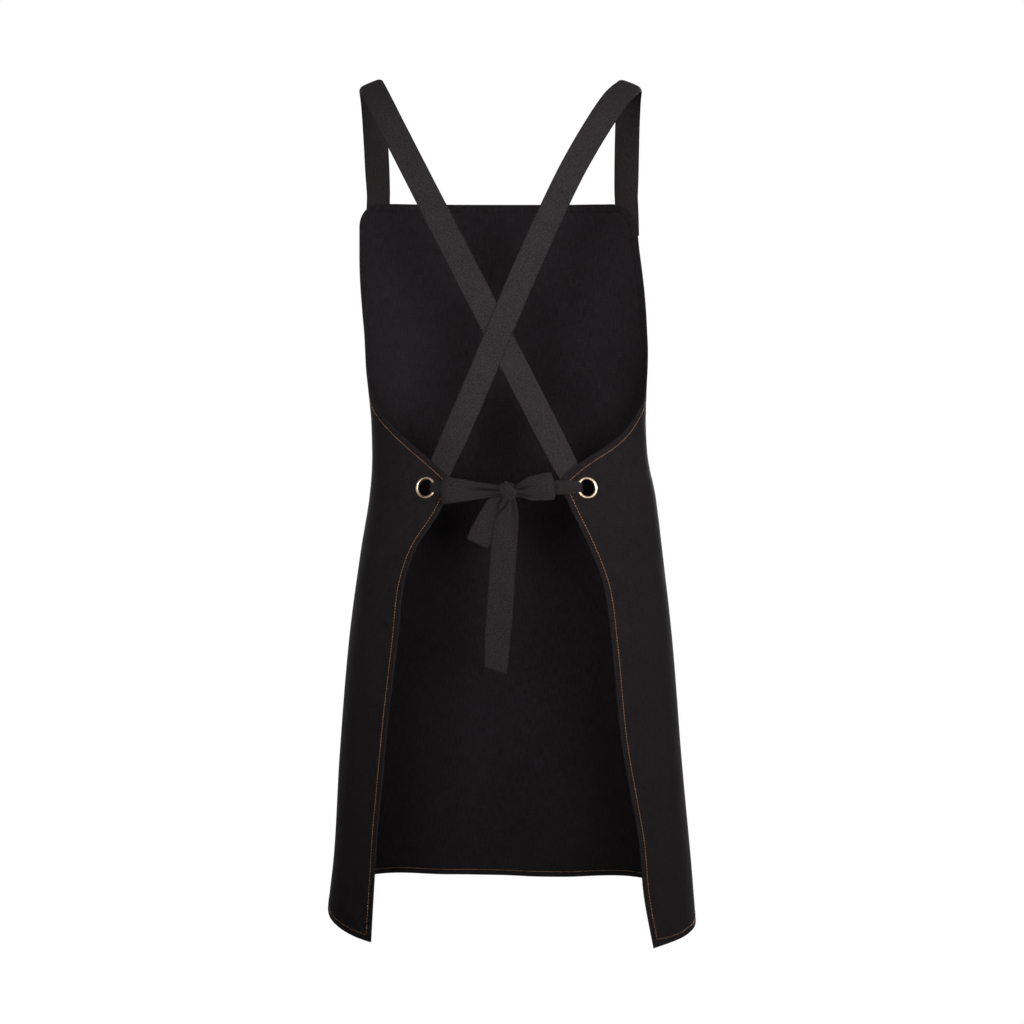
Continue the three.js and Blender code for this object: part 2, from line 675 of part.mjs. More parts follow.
// The knot: a rounded lump with the grooves of a slanting wrap, grown all round by a clearance.
function knotGeometry(grow) {
  const ball = new THREE.SphereGeometry(1, 20, 14);
  const position = ball.getAttribute("position");
  const half = vec(KNOT.width, KNOT.depth, KNOT.height).multiplyScalar(0.5);
  for (let i = 0; i < position.count; i += 1) {
    const p = vec().fromBufferAttribute(position, i);
    const slant = (p.x + p.z * WRAP.slope) / Math.hypot(1, WRAP.slope);
    const dip = WRAP.groove * Math.exp(-(((Math.abs(slant) - WRAP.half) / WRAP.soft) ** 2));
    const spot = p.clone().multiply(half).addScaledVector(p, grow > 0 ? grow : -dip);
    position.setXYZ(i, spot.x, spot.y, spot.z);
  }
  ball.translate(...KNOT_AT.toArray());
  ball.computeVertexNormals();
  return ball;
}

// A loop of the bow: the tape runs out from the knot, turns over and comes back behind.
function loopGeometry(side) {
  const reach = side === LEFT ? BOW_LEFT : BOW_RIGHT;
  const start = KNOT.width * 0.3;
  const stops = LOOP.map((row, i) => {
    const before = LOOP[Math.max(i - 1, 0)];
    const after = LOOP[Math.min(i + 1, LOOP.length - 1)];
    const run = side * (after.out - before.out) * reach;
    const along = vec(run, (before.depth - after.depth) * LOOP_DEPTH, 0);
    const face = vec(along.y, -along.x, 0).normalize().multiplyScalar(-side);
    const place = KNOT_AT.clone().add(
      vec(side * (start + row.out * (reach - start)), -LOOP_OUT - row.depth * LOOP_DEPTH, 0),
    );
    return { place, face, width: row[sideName(side)] * LOOP_WIDTH, thick: TAPE_THICK, cup: 0 };
  });
  const loop = tapeGeometry(stops, LOOP_STEP);
  loop.translate(...KNOT_AT.clone().negate().toArray());
  loop.rotateY(-side * rad(LOOP_RISE[side]));
  loop.translate(...KNOT_AT.toArray());
  return cut(loop, knotGeometry(GAP));
}

// A hanging end of the bow, leaning by some degrees, cut square.
function tailGeometry(length, lean, layer, shift) {
  const down = vec(Math.sin(rad(lean)), 0, -Math.cos(rad(lean)));
  const aside = vec(Math.cos(rad(lean)), 0, Math.sin(rad(lean)));
  const root = KNOT_AT.clone().add(vec(shift, -layer, -KNOT.height * TAIL_ROOT));
  const stops = TAIL.map(({ share, sway, width }) => {
    const place = root.clone().addScaledVector(down, share * length);
    place.addScaledVector(aside, sway * length);
    place.y -= TAIL_KICK * share * share;
    const cup = TAIL_CUP * (1 - share);
    return { place, face: vec(0, -1, 0), width: width * TAPE_WIDTH, thick: TAPE_THICK, cup };
  });
  return cut(tapeGeometry(stops, TAPE_STEP), knotGeometry(GAP));
}

const MATERIALS = {
  panel: new THREE.MeshStandardMaterial({ color: 0x211d20, roughness: 0.92, metalness: 0 }),
  tape: new THREE.MeshStandardMaterial({ color: 0x332d2f, roughness: 0.9, metalness: 0 }),
  brass: new THREE.MeshStandardMaterial({ color: 0xa8987c, roughness: 0.35, metalness: 1 }),
};

const apron = new THREE.Group();
function addPiece(name, geometry, material) {
  const mesh = new THREE.Mesh(geometry, MATERIALS[material]);
  mesh.name = name;
  apron.add(mesh);
}

addPiece("apron_panel", panelWithHoles(), "panel");
for (const side of SIDES) {
  const name = sideName(side);
  addPiece("strap_" + name, strapGeometry(side), "tape");
  addPiece("grommet_eyelet_" + name, eyeletGeometry(SEATS[side]), "brass");
  addPiece("grommet_washer_" + name, washerGeometry(SEATS[side]), "brass");
  addPiece("bow_loop_" + name, loopGeometry(side), "tape");
}
addPiece("bow_knot", knotGeometry(0), "tape");
addPiece("tail_long", tailGeometry(TAIL_LONG, -4.6, 5.2, 1), "tape");
addPiece("tail_short", tailGeometry(TAIL_SHORT, -30, 0.5, -6), "tape");

export default apron;
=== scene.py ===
import math

import bmesh
import bpy
import numpy as np
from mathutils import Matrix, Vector


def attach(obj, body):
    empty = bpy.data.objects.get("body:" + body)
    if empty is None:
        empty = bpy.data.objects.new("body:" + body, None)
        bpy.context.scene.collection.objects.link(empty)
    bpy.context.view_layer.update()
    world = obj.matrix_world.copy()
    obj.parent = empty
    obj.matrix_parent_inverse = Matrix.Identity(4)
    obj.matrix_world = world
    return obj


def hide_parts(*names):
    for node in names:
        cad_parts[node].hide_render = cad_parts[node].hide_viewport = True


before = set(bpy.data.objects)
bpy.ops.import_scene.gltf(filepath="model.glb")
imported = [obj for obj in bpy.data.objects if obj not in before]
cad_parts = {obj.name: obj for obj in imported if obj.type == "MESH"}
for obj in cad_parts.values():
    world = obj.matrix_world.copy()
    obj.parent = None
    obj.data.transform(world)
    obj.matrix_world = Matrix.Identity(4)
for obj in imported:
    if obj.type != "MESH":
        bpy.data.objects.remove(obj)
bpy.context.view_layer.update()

MM = 0.001
LEFT, RIGHT = -1, 1
SIDES = (LEFT, RIGHT)
NAME = {LEFT: "left", RIGHT: "right"}

# Panel sizes, in millimetres, with the shares, slope and exponents that shape it
BIB_DROP = 156
FRONT_LENGTH = 942
SIDE_DROP = 29
HEM_HALF_WIDTH = 246
FRONT_DEPTH = 150
BACK_DEPTH = 193
BIB_CORNER = 33
CLOTH = 1.2
HEM = 10
HEM_THICK = 2.4
HEM_STEP = 1.4
SKIRT_FOLD = 3.5
FRONT_RISE = 0.0814
TIP_SOFT = 5
TIP_LEVEL = 0.402
FOLD_START = 0.45
FRONT_ROUND = 2.6
BACK_ROUND = 2.0
STITCH_INSET = 7.6

# Strap and bow sizes, in millimetres, with shares of them and degrees of rise
TAPE_WIDTH = 34
TAPE_THICK = 1.5
FOLD_WIDTH = 18.5
FOLD_THICK = 3
BUNCH = 0.64
HOLE_SLACK = 0.68
RIM_BEND = 3.6
RIM_HUG = 2.6
RIM_SWELL = 1.08
SHOULDER_HALF = 175
SHOULDER_SKEW = -6
SHOULDER_ARCH = 90
SHOULDER_DROOP = 4
DROOP_REACH = 90
STRAP_DEPTH = 123
STRAP_LAP = 45
STRAP_SPREAD = 171
STRAP_SKEW = -3.5
STRAP_ENTRY = {LEFT: 17, RIGHT: 23}
STRAP_TURN = {"front": 0.08, "back": 0.21}
GAP = 0.3
BOW_REACH = {LEFT: 86, RIGHT: 60}
LOOP_WIDTH = 36
LOOP_DEPTH = 8
LOOP_OUT = 4.5
LOOP_BULGE = 2.8
LOOP_RISE = {LEFT: 1, RIGHT: 7}
KNOT_WIDTH = 26
KNOT_DEPTH = 17
KNOT_HEIGHT = 23.5
KNOT_SLOPE = 0.8
KNOT_SPAN = 1.28
KNOT_ROOT = 0.3
KNOT_FOLD = 0.9
KNOT_RIDGE = 0.35
# Share of painted shade over the whole knot lump
KNOT_PAINTED_SHADE = 0.7
GROOVE_WIDTH = 0.11
GROOVE_DEPTH = 1.5
WRAP_EDGE = 0.55
WRAP_REACH = 12.8
WRAP_DEPTH = 10
WRAP_WIDTH = 14.5
WRAP_THICK = 2
KNOT_BACK = 27
KNOT_SHIFT = 2
KNOT_LOW = 5.1
TAIL_LENGTH = {"long": 222, "short": 68}
TAIL_ROOT = 0.36
TAIL_KICK = 3
TAIL_CUP = 1.2

# Grommet sizes, in millimetres
GROMMET_BORE = 22
GROMMET_OUTER = 28.5
GROMMET_INSET = 36.5
BARREL_WALL = 0.5
FLANGE_RISE = 1.3
WASHER_THICK = 0.8
LIP_REACH = 1.1
FLAT_SPOT = 24
BORE_R = GROMMET_BORE / 2
BARREL_R = BORE_R + BARREL_WALL
FLANGE_R = GROMMET_OUTER / 2
WASHER_TOP = -CLOTH - GAP
WASHER_LOW = WASHER_TOP - WASHER_THICK
LIP_LOW = WASHER_LOW - GAP - BARREL_WALL
METAL_SOFT = 0.2
METAL_EDGE = 0.25

# Stitch sizes, in millimetres, and the bearings between which the hem shows inside
STITCH = 3.3
STITCH_SPACE = 0.7
THREAD = 0.95
END_THREAD = 0.8
END_MARGIN = 3
SEAM_RISE = 0.1
HEM_SHOWS = (-122, 119)


def rows(names, *lines):
    """A table: a row for each line, with its values by the columns' names."""
    return [dict(zip(names.split(), line)) for line in lines]


# Body sections from the bib's top edge to the hem, as shares of the named sizes
SECTIONS = rows(
    "level left right front back",
    (0.0, 0.94, 0.94, 0.72, 0.62),
    (0.12, 0.884, 0.88, 0.787, 0.6),
    (0.2, 0.815, 0.824, 0.787, 0.59),
    (0.27, 0.746, 0.773, 0.773, 0.59),
    (0.36, 0.7245, 0.777, 0.75, 0.6),
    (0.42, 0.738, 0.821, 0.757, 0.63),
    (0.5, 0.787, 0.861, 0.8, 0.73),
    (0.62, 0.847, 0.916, 0.86, 0.83),
    (0.78, 0.895, 0.97, 0.92, 0.92),
    (0.92, 0.923, 1.024, 0.973, 0.975),
    (1.0, 0.957, 1.05, 1.0, 1.0),
)

# How far each edge wraps round the body, in degrees from the front's middle
ARMHOLE = rows(
    "level left right",
    (0.0, 71, 65.5),
    (0.08, 71.6, 67.5),
    (0.16, 73.2, 72.3),
    (0.22, 78, 79.2),
    (0.268, 91, 90.5),
    (0.3, 104.5, 102.5),
    (0.335, 120.5, 116),
    (0.37, 138, 137),
    (0.402, 154, 153),
    (0.44, 170, 169),
)
BACK_EDGE = rows(
    "level left right",
    (0.36, 156, 157),
    (0.402, 148, 147),
    (0.44, 141, 141),
    (0.48, 133.5, 136.5),
    (0.53, 129.8, 132.5),
    (0.6, 130, 132),
    (0.72, 128.7, 131.6),
    (0.8, 127.9, 129.2),
    (0.86, 127, 127.2),
    (0.93, 126.8, 126.7),
    (1.0, 127.2, 124),
)
HEM_LINE = rows(
    "around left right",
    (0, 0, 0),
    (30, -0.06, 0.06),
    (56, -0.36, -0.12),
    (72, -0.3, 0.2),
    (90, 0.03, 0.84),
    (104, 0.32, 0.88),
    (118, 0.56, 0.88),
    (130, 0.64, 0.96),
)
FOLDS = rows(
    "bearing width depth",
    (-104, 13, 1),
    (-58, 12, -0.86),
    (-22, 10, 0.86),
    (14, 11, -0.7),
    (52, 12, 0.86),
    (98, 13, -0.86),
)

# Fine wrinkles on the flat cloth: aside and down from the middle of the bib's top edge, both
# shares of FRONT_LENGTH, turn in degrees, length and width in millimetres, depth too
WRINKLES = rows(
    "aside down turn length width depth",
    (-0.4, 0.455, 34, 46, 8, 2.6),
    (-0.38, 0.43, -8, 52, 9, -2.2),
    (-0.385, 0.475, 58, 60, 11, -2.4),
    (-0.37, 0.385, -34, 44, 9, 2.2),
    (0.4, 0.455, -34, 48, 8, -2.8),
    (0.38, 0.44, 10, 52, 9, 2.4),
    (0.385, 0.475, -56, 60, 11, 2.4),
    (0.37, 0.385, 32, 44, 9, -2.2),
    (0.13, 0.05, -8, 30, 6, -2.6),
    (0.15, 0.058, -14, 26, 6, 1.8),
    (-0.1, 0.2, 62, 90, 22, 2.4),
    (0.09, 0.24, -64, 95, 24, -2.4),
    (-0.07, 0.44, 80, 70, 16, 2.2),
    (0.08, 0.47, -82, 80, 17, -2.2),
    (-0.17, 0.62, 84, 130, 22, 2.6),
    (0.17, 0.7, -86, 140, 24, -2.8),
    (-0.21, 0.74, 88, 210, 26, 2.6),
    (-0.1, 0.66, 92, 230, 30, -3.2),
    (-0.01, 0.8, 90, 190, 26, 2.8),
    (0.085, 0.72, 87, 220, 28, -3.0),
    (0.2, 0.8, 91, 190, 26, 2.8),
    (-0.23, 0.3, 30, 50, 14, 1.3),
    (0.235, 0.31, -28, 50, 14, 1.3),
)

# A strap's way down the back, up the front, inside its wing and over the wing's face
BACK_WAY = rows(
    "way depth left right",
    (0.012, 0.24, 0.0, 0.01),
    (0.05, 0.49, 0.0, 0.055),
    (0.12, 0.69, 0.0, 0.092),
    (0.235, 0.85, 0.0, 0.121),
    (0.37, 0.94, 0.0, 0.118),
    (0.51, 0.985, 0.0, 0.1),
    (0.65, 1.0, 0.0, 0.07),
    (0.79, 0.985, 0.0, 0.04),
    (0.9, 0.945, 0.0, 0.02),
)
CROSS_WAY = 0.65
CROSS_SPREAD = 0.3
FRONT_WAY = rows("way depth", (0.28, 0.99), (0.62, 0.88), (0.85, 0.66), (0.965, 0.34))
LAP_STOPS = [1, 0.66, 0.33, 0.09, -0.22]
UNDER_WING = rows(
    "tip up below width thick cup",
    (0, 0.69, 0.47, 1, 1, 0),
    (0.5, 0.324, 0.47, 0.8, 1.3, 0),
    (0.456, 0.09, 0.53, 0.55, 1.6, 0.4),
)
RIM_TURNS = [-80, -45, 0, 45, 80]
OVER_WING = rows("tip above width", (0.63, 0.1, 0.95), (1.05, -0.2, 1), (1.51, -0.63, 1))

LOOP = rows(
    "out depth left right",
    (0.0, 0.1, 0.34, 0.34),
    (0.12, 0.18, 0.38, 0.46),
    (0.4, 0.55, 0.62, 0.88),
    (0.75, 0.8, 0.88, 0.98),
    (0.95, 0.62, 1.0, 1.0),
    (1.0, 0.0, 1.0, 1.0),
    (0.95, -0.42, 0.98, 0.98),
    (0.75, -0.5, 0.86, 0.94),
    (0.4, -0.38, 0.6, 0.82),
    (0.12, -0.24, 0.36, 0.42),
    (0.0, -0.2, 0.32, 0.32),
)
# Creases that run out from the knot: where across the tape, as a share of its half width, how
# wide and deep in the same share, how far they reach along it and how far they drift aside
LOOP_CREASES = {
    LEFT: rows(
        "across width depth reach drift",
        (-0.12, 0.17, 0.34, 0.34, -0.3),
        (0.34, 0.3, -0.1, 0.42, 0.1),
        (0.7, 0.12, 0.12, 0.26, 0.4),
        (-0.62, 0.16, 0.1, 0.2, -0.5),
    ),
    RIGHT: rows(
        "across width depth reach drift",
        (0.12, 0.16, 0.3, 0.22, 0.3),
        (-0.3, 0.3, -0.1, 0.3, 0.0),
        (-0.66, 0.12, 0.15, 0.28, -0.3),
        (0.66, 0.14, 0.1, 0.2, 0.6),
    ),
}
WRAP_CREASES = rows(
    "across width depth reach drift",
    (-0.4, 0.1, -0.5, 3.0, 0.25),
    (0.26, 0.08, -0.2, 3.0, -0.15),
    (0.78, 0.08, -0.14, 3.0, 0.0),
)
TAIL_CREASES = {
    "long": rows(
        "across width depth reach drift",
        (-0.1, 0.12, -0.42, 0.15, 10.0),
        (-0.5, 0.2, -0.1, 0.3, -1.0),
    ),
    "short": rows("across width depth reach drift", (0.1, 0.16, -0.16, 0.4, -0.6)),
}
TAIL_HANG = rows(
    "name lean layer shift skew",
    ("long", -4.6, 5.2, 1, -3.6),
    ("short", -30, 0.5, -6, 0.6),
)
TAIL = rows(
    "share sway width",
    (0.0, 0.0, 0.5),
    (0.1, 0.0, 0.86),
    (0.24, -0.005, 0.98),
    (0.6, 0.0, 1.0),
    (0.85, 0.0, 0.96),
    (1.0, 0.004, 0.86),
)


def column(table, key, name, at):
    """A column's value where the key column is at, on a smooth curve through the rows."""
    last = len(table) - 1
    i = 0
    while i < last - 1 and at > table[i + 1][key]:
        i += 1

    def slope(k):
        a, b = max(k - 1, 0), min(k + 1, last)
        return (table[b][name] - table[a][name]) / (table[b][key] - table[a][key])

    span = table[i + 1][key] - table[i][key]
    t = (at - table[i][key]) / span
    rise = table[i + 1][name] - table[i][name]
    s0, s1 = slope(i) * span, slope(i + 1) * span
    if t < 0:
        return table[i][name] + t * s0
    if t > 1:
        return table[i + 1][name] + (t - 1) * s1
    return table[i][name] + t * (s0 + t * (3 * rise - 2 * s0 - s1 + t * (s0 + s1 - 2 * rise)))


def ease(t):
    t = min(max(t, 0), 1)
    return t * t * (3 - 2 * t)


def soft_min(a, b, width):
    h = min(max(0.5 + (b - a) / (2 * width), 0), 1)
    return b + (a - b) * h - width * h * (1 - h)


def fold_depth(level, bearing):
    """How far the skirt's folds push the cloth out."""
    grow = ease((level - FOLD_START) / (1 - FOLD_START))
    if grow == 0:
        return 0
    return SKIRT_FOLD * grow * sum(
        f["depth"] * math.exp(-(((bearing - f["bearing"]) / f["width"]) ** 2)) for f in FOLDS
    )


def drape(side, level, around):
    """A point of the cloth's outer face, in millimetres."""
    half = column(SECTIONS, "level", NAME[side], level) * HEM_HALF_WIDTH
    ahead = column(SECTIONS, "level", "front", level) * FRONT_DEPTH
    behind = column(SECTIONS, "level", "back", level) * BACK_DEPTH
    s, c = math.sin(math.radians(around)), math.cos(math.radians(around))
    power, depth = (FRONT_ROUND, ahead) if c >= 0 else (BACK_ROUND, behind)
    reach = (abs(s) / half) ** power + (abs(c) / depth) ** power
    radius = reach ** (-1 / power) + fold_depth(level, side * around)
    skirt = max(0, (level - TIP_LEVEL) / (1 - TIP_LEVEL))
    sag = SIDE_DROP * skirt * column(HEM_LINE, "around", NAME[side], around)
    low = BIB_DROP + FRONT_LENGTH * level + sag
    return Vector((side * radius * s, radius * c, FRONT_RISE * radius * c - low))


def normal_of(surface, side, level, around):
    """The direction that a surface faces, away from the body."""
    d = 0.002
    down = surface(side, level + d, around) - surface(side, level - d, around)
    on = surface(side, level, around + 0.5) - surface(side, level, around - 0.5)
    return on.cross(down).normalized() * side


def wrap(side, level):
    """The bearing of the cloth's edge, where the armhole turns softly into the back edge."""
    return soft_min(
        column(ARMHOLE, "level", NAME[side], level),
        column(BACK_EDGE, "level", NAME[side], level),
        TIP_SOFT,
    )


def per_degree(side, level, around):
    """Millimetres of cloth in a degree."""
    return (drape(side, level, around + 0.5) - drape(side, level, around - 0.5)).length


def grommet_seat(side):
    """A grommet's middle on the cloth and its directions out, up and along to the wing's tip."""
    tip = wrap(side, TIP_LEVEL)
    around = tip - GROMMET_INSET / per_degree(side, TIP_LEVEL, tip - 8)
    out = normal_of(drape, side, TIP_LEVEL, around)
    up = (Vector((0, 0, 1)) - out * out.z).normalized()
    return {
        "centre": drape(side, TIP_LEVEL, around),
        "out": out,
        "along": out.cross(up) * side,
        "up": up,
    }


SEATS = {side: grommet_seat(side) for side in SIDES}


def cloth(side, level, around):
    """The cloth's outer face, pressed flat around the grommets."""
    p = drape(side, level, around)
    seat = SEATS[side]
    off = p - seat["centre"]
    near = 1 - ease((off.length - FLAT_SPOT) / FLAT_SPOT)
    return p - seat["out"] * (off.dot(seat["out"]) * near)


# Meshes


def mesh_piece(name, points, faces, finish, maps=None, smooth=True):
    """An object at the origin from points in millimetres; maps are UV maps, one pair a point."""
    mesh = bpy.data.meshes.new(name)
    mesh.from_pydata([Vector(p) * MM for p in points], [], faces)
    for map_name, pairs in (maps or {}).items():
        layer = mesh.uv_layers.new(name=map_name)
        flat = np.array([pairs[v] for v in (loop.vertex_index for loop in mesh.loops)])
        layer.data.foreach_set("uv", flat.astype(np.float32).ravel())
    mesh.polygons.foreach_set("use_smooth", [smooth] * len(mesh.polygons))
    mesh.update()
    piece = bpy.data.objects.new(name, mesh)
    bpy.context.scene.collection.objects.link(piece)
    if finish:
        mesh.materials.append(finish)
    return piece


def between(stops, most):
    """The stops with even steps added between them, none longer than most."""
    out = [stops[0]]
    for a, b in zip(stops, stops[1:]):
        n = max(1, math.ceil((b - a) / most - 1e-6))
        out += [a + (b - a) * (k + 1) / n for k in range(n)]
    return out


# The cloth panel

# How far from an edge its lines of points lie, finest over the fold and the hem's step
EDGE_STEPS = [0, 0.12, 0.45, 1.2, 3.4, 5.6, 7.6, 9.2, 9.9, 10.6, 11.4, 13.5, 17, 22, 28, 35]
NEAR_EDGE = 30
ROW_STEP = 6.2
MIDDLE_POINTS = 54
MOST_SLANT = 1.8
CALM_SPOT = 26
CALM_STEP = 30


def corner_cut(drop):
    """How much the bib's round corner takes off the edge."""
    if drop >= BIB_CORNER:
        return 0
    return BIB_CORNER - math.sqrt(BIB_CORNER**2 - (BIB_CORNER - drop) ** 2)


def edge_around(side, level):
    edge = wrap(side, level)
    return edge - corner_cut(FRONT_LENGTH * level) / per_degree(side, level, edge - 3)


def panel_levels():
    """The levels of the panel's rows of points, close together at the top and the hem."""
    corner = [BIB_CORNER * (1 - math.cos(math.radians(a))) for a in range(0, 91, 6)]
    near = [s for s in EDGE_STEPS if s < NEAR_EDGE]
    top = sorted(set(corner + near))
    top = [a for a, b in zip(top, top[1:] + [FRONT_LENGTH]) if b - a > 0.1]
    low = [FRONT_LENGTH - s for s in reversed(near)]
    return [d / FRONT_LENGTH for d in between(top + low, ROW_STEP)]


def row_of(side, level):
    """Bearings of a row's points from the edge to the middle, with each one's way from the edge."""
    edge = edge_around(side, level)
    above, below = max(level - 0.004, 0), min(level + 0.004, 1)
    scale = per_degree(side, level, edge - 3)
    run = (edge_around(side, below) - edge_around(side, above)) * scale / (below - above)
    slant = min(math.hypot(1, run / FRONT_LENGTH), MOST_SLANT)
    border = [(edge - s * slant / scale, s) for s in EDGE_STEPS]
    inner = border[-1][0]
    rest = [inner * (1 - (i + 1) / MIDDLE_POINTS) for i in range(MIDDLE_POINTS)]
    return border + [(a, (edge - a) * scale) for a in rest]


def wrinkle(aside, down):
    """Depth of the fine wrinkles at a place of the flat cloth, in millimetres."""
    total = 0
    for w in WRINKLES:
        x, y = aside - w["aside"] * FRONT_LENGTH, down - w["down"] * FRONT_LENGTH
        if abs(x) + abs(y) > 3 * w["length"]:
            continue
        c, s = math.cos(math.radians(w["turn"])), math.sin(math.radians(w["turn"]))
        a, b = (x * c + y * s) / w["length"], (y * c - x * s) / w["width"]
        total += w["depth"] * math.exp(-a * a - b * b)
    return total


def panel_grid(levels):
    """The outer face's points, their normals and their ways from the side edges, row by row."""
    grid, ways = [], []
    for level in levels:
        left = [(LEFT, a, s) for a, s in row_of(LEFT, level)]
        right = [(RIGHT, a, s) for a, s in row_of(RIGHT, level)]
        row = left + right[-2::-1]
        grid.append([tuple(cloth(side, level, around)) for side, around, s in row])
        ways.append([s for side, around, s in row])
    spots = np.array(grid)
    normals = np.cross(np.gradient(spots, axis=1), np.gradient(spots, axis=0))
    normals /= np.linalg.norm(normals, axis=2, keepdims=True)
    return spots, normals, np.array(ways)


def wall_at(way):
    """The cloth's thickness, doubled on the turned hem."""
    return CLOTH + (HEM_THICK - CLOTH) * (1 - ease((way - HEM + 0.4) / HEM_STEP))


def edge_round(way):
    """How far both faces draw in where the hem is folded over."""
    half = HEM_THICK / 2
    return 0 if way >= half else half * (1 - math.sqrt(1 - (1 - way / half) ** 2))


def panel_faces(n_rows, n_cols):
    """Both faces of the cloth, then its side edges, then its top and hem."""

    def at(face, r, c):
        return (face * n_rows + r) * n_cols + c

    faces = []
    for r in range(n_rows - 1):
        for c in range(n_cols - 1):
            faces.append((at(0, r, c), at(0, r + 1, c), at(0, r + 1, c + 1), at(0, r, c + 1)))
            faces.append((at(1, r, c), at(1, r, c + 1), at(1, r + 1, c + 1), at(1, r + 1, c)))
    for r in range(n_rows - 1):
        c = n_cols - 1
        faces.append((at(0, r, 0), at(1, r, 0), at(1, r + 1, 0), at(0, r + 1, 0)))
        faces.append((at(0, r, c), at(0, r + 1, c), at(1, r + 1, c), at(1, r, c)))
    for c in range(n_cols - 1):
        r = n_rows - 1
        faces.append((at(0, 0, c), at(0, 0, c + 1), at(1, 0, c + 1), at(1, 0, c)))
        faces.append((at(0, r, c), at(1, r, c), at(1, r, c + 1), at(0, r, c + 1)))
    return faces


def panel_piece(finish):
    levels = panel_levels()
    spots, normals, ways = panel_grid(levels)
    n_rows, n_cols = ways.shape
    middle = n_cols // 2
    steps = np.linalg.norm(np.diff(spots, axis=1), axis=2)
    outer, inner, weave, border = [], [], [], []
    for r, level in enumerate(levels):
        asides = np.concatenate([[0], np.cumsum(steps[r])])
        asides -= asides[middle]
        drop = level * FRONT_LENGTH
        for c in range(n_cols):
            way = min(ways[r, c], drop, FRONT_LENGTH - drop)
            seat = SEATS[LEFT if c < middle else RIGHT]
            calm = ease(((Vector(spots[r, c]) - seat["centre"]).length - CALM_SPOT) / CALM_STEP)
            lift = calm * ease(way / NEAR_EDGE) * wrinkle(asides[c], drop)
            p = spots[r, c] + normals[r, c] * lift
            soft = edge_round(way)
            outer.append(p - normals[r, c] * soft)
            inner.append(p - normals[r, c] * (wall_at(way) - soft))
            weave.append((asides[c] * MM, -drop * MM))
            along = asides[c] if way in (drop, FRONT_LENGTH - drop) else drop
            border.append((way * MM, along * MM))
    reverse = [(0, 0)] * len(outer) + [(1, 0)] * len(inner)
    maps = {"Weave": weave + weave, "Border": border + border, "Reverse": reverse}
    panel = mesh_piece("panel_cloth", outer + inner, panel_faces(n_rows, n_cols), finish, maps)
    punches = [punch(side) for side in SIDES]
    for tool in punches:
        hole = panel.modifiers.new("hole", "BOOLEAN")
        hole.operation, hole.solver, hole.object = "DIFFERENCE", "EXACT", tool
    settle(panel)
    for tool in punches:
        bpy.data.objects.remove(tool)
    return panel


def turned_profile(seat, profile, count):
    """Points of (radius, height) pairs turned round a grommet's middle, turn by turn."""
    points = []
    for k in range(count):
        a = 2 * math.pi * k / count
        spoke = seat["along"] * math.cos(a) + seat["up"] * math.sin(a)
        points += [seat["centre"] + spoke * r + seat["out"] * h for r, h in profile]
    return points


def punch(side):
    """The round tool that cuts a grommet's hole."""
    n, half = 48, 9
    low, high = [turned_profile(SEATS[side], [(BARREL_R + GAP, h)], n) for h in (-half, half)]
    ring = [(k, (k + 1) % n, (k + 1) % n + n, k + n) for k in range(n)]
    ends = [tuple(range(n - 1, -1, -1)), tuple(range(n, 2 * n))]
    tool = mesh_piece("punch", low + high, ring + ends, None, smooth=False)
    outward(tool)
    return tool


def outward(piece):
    """Turns a closed mesh's faces outwards."""
    bm = bmesh.new()
    bm.from_mesh(piece.data)
    bmesh.ops.recalc_face_normals(bm, faces=bm.faces)
    bm.to_mesh(piece.data)
    bm.free()


def settle(piece):
    """Applies a piece's modifiers and removes them."""
    graph = bpy.context.evaluated_depsgraph_get()
    made = bpy.data.meshes.new_from_object(piece.evaluated_get(graph))
    old = piece.data
    piece.modifiers.clear()
    piece.data = made
    made.name = old.name
    bpy.data.meshes.remove(old)


# Tapes


def spline(points):
    """A smooth curve through points: at(i, t) lies between points i and i + 1."""
    ends = [points[0] * 2 - points[1], *points, points[-1] * 2 - points[-2]]

    def at(i, t):
        if i > len(points) - 2:
            i, t = len(points) - 2, 1
        p0, p1, p2, p3 = ends[i : i + 4]
        d0, d1, d2 = [
            max((b - a).length, 1e-4) ** 0.5 for a, b in ((p0, p1), (p1, p2), (p2, p3))
        ]
        t1 = ((p1 - p0) / d0 - (p2 - p0) / (d0 + d1) + (p2 - p1) / d1) * d1
        t2 = ((p2 - p1) / d1 - (p3 - p1) / (d1 + d2) + (p3 - p2) / d2) * d1
        bend = 3 * (p2 - p1) - 2 * t1 - t2
        return p1 + t * (t1 + t * (bend + t * (2 * (p1 - p2) + t1 + t2)))

    return at


def stop(place, face, width=TAPE_WIDTH, thick=TAPE_THICK, cup=0, skew=0, droop=0):
    size = {"width": width, "thick": thick, "cup": cup, "skew": skew, "droop": droop}
    return {"place": place, "face": face, **size}


TAPE_SHAPE = ("width", "thick", "cup", "skew", "droop")
TAPE_POINTS = 22
RIPPLE = 1.5
SWAY = 0.22


def tape_rings(stops, finest):
    """Where a tape's rings lie: the stop before each one and its share of the way to the next."""
    rings = []
    for i, (a, b) in enumerate(zip(stops, stops[1:])):
        steps = max(2, round((b["place"] - a["place"]).length / finest))
        rings += [(i, k / steps) for k in range(steps)]
    return rings + [(len(stops) - 2, 1.0)]


def tape_faces(n_rings, fine):
    """The faces and closed ends of a tape with fine steps across."""
    n = 2 * fine
    faces = []
    for r in range(n_rings - 1):
        for k in range(n):
            a, b = r * n + k, r * n + (k + 1) % n
            faces.append((a, b, b + n, a + n))
    end = (n_rings - 1) * n
    for k in range(fine):
        quad = list(dict.fromkeys([k, k + 1, n - k - 1, (n - k) % n]))
        faces.append(tuple(reversed(quad)))
        faces.append(tuple(end + q for q in quad))
    return faces


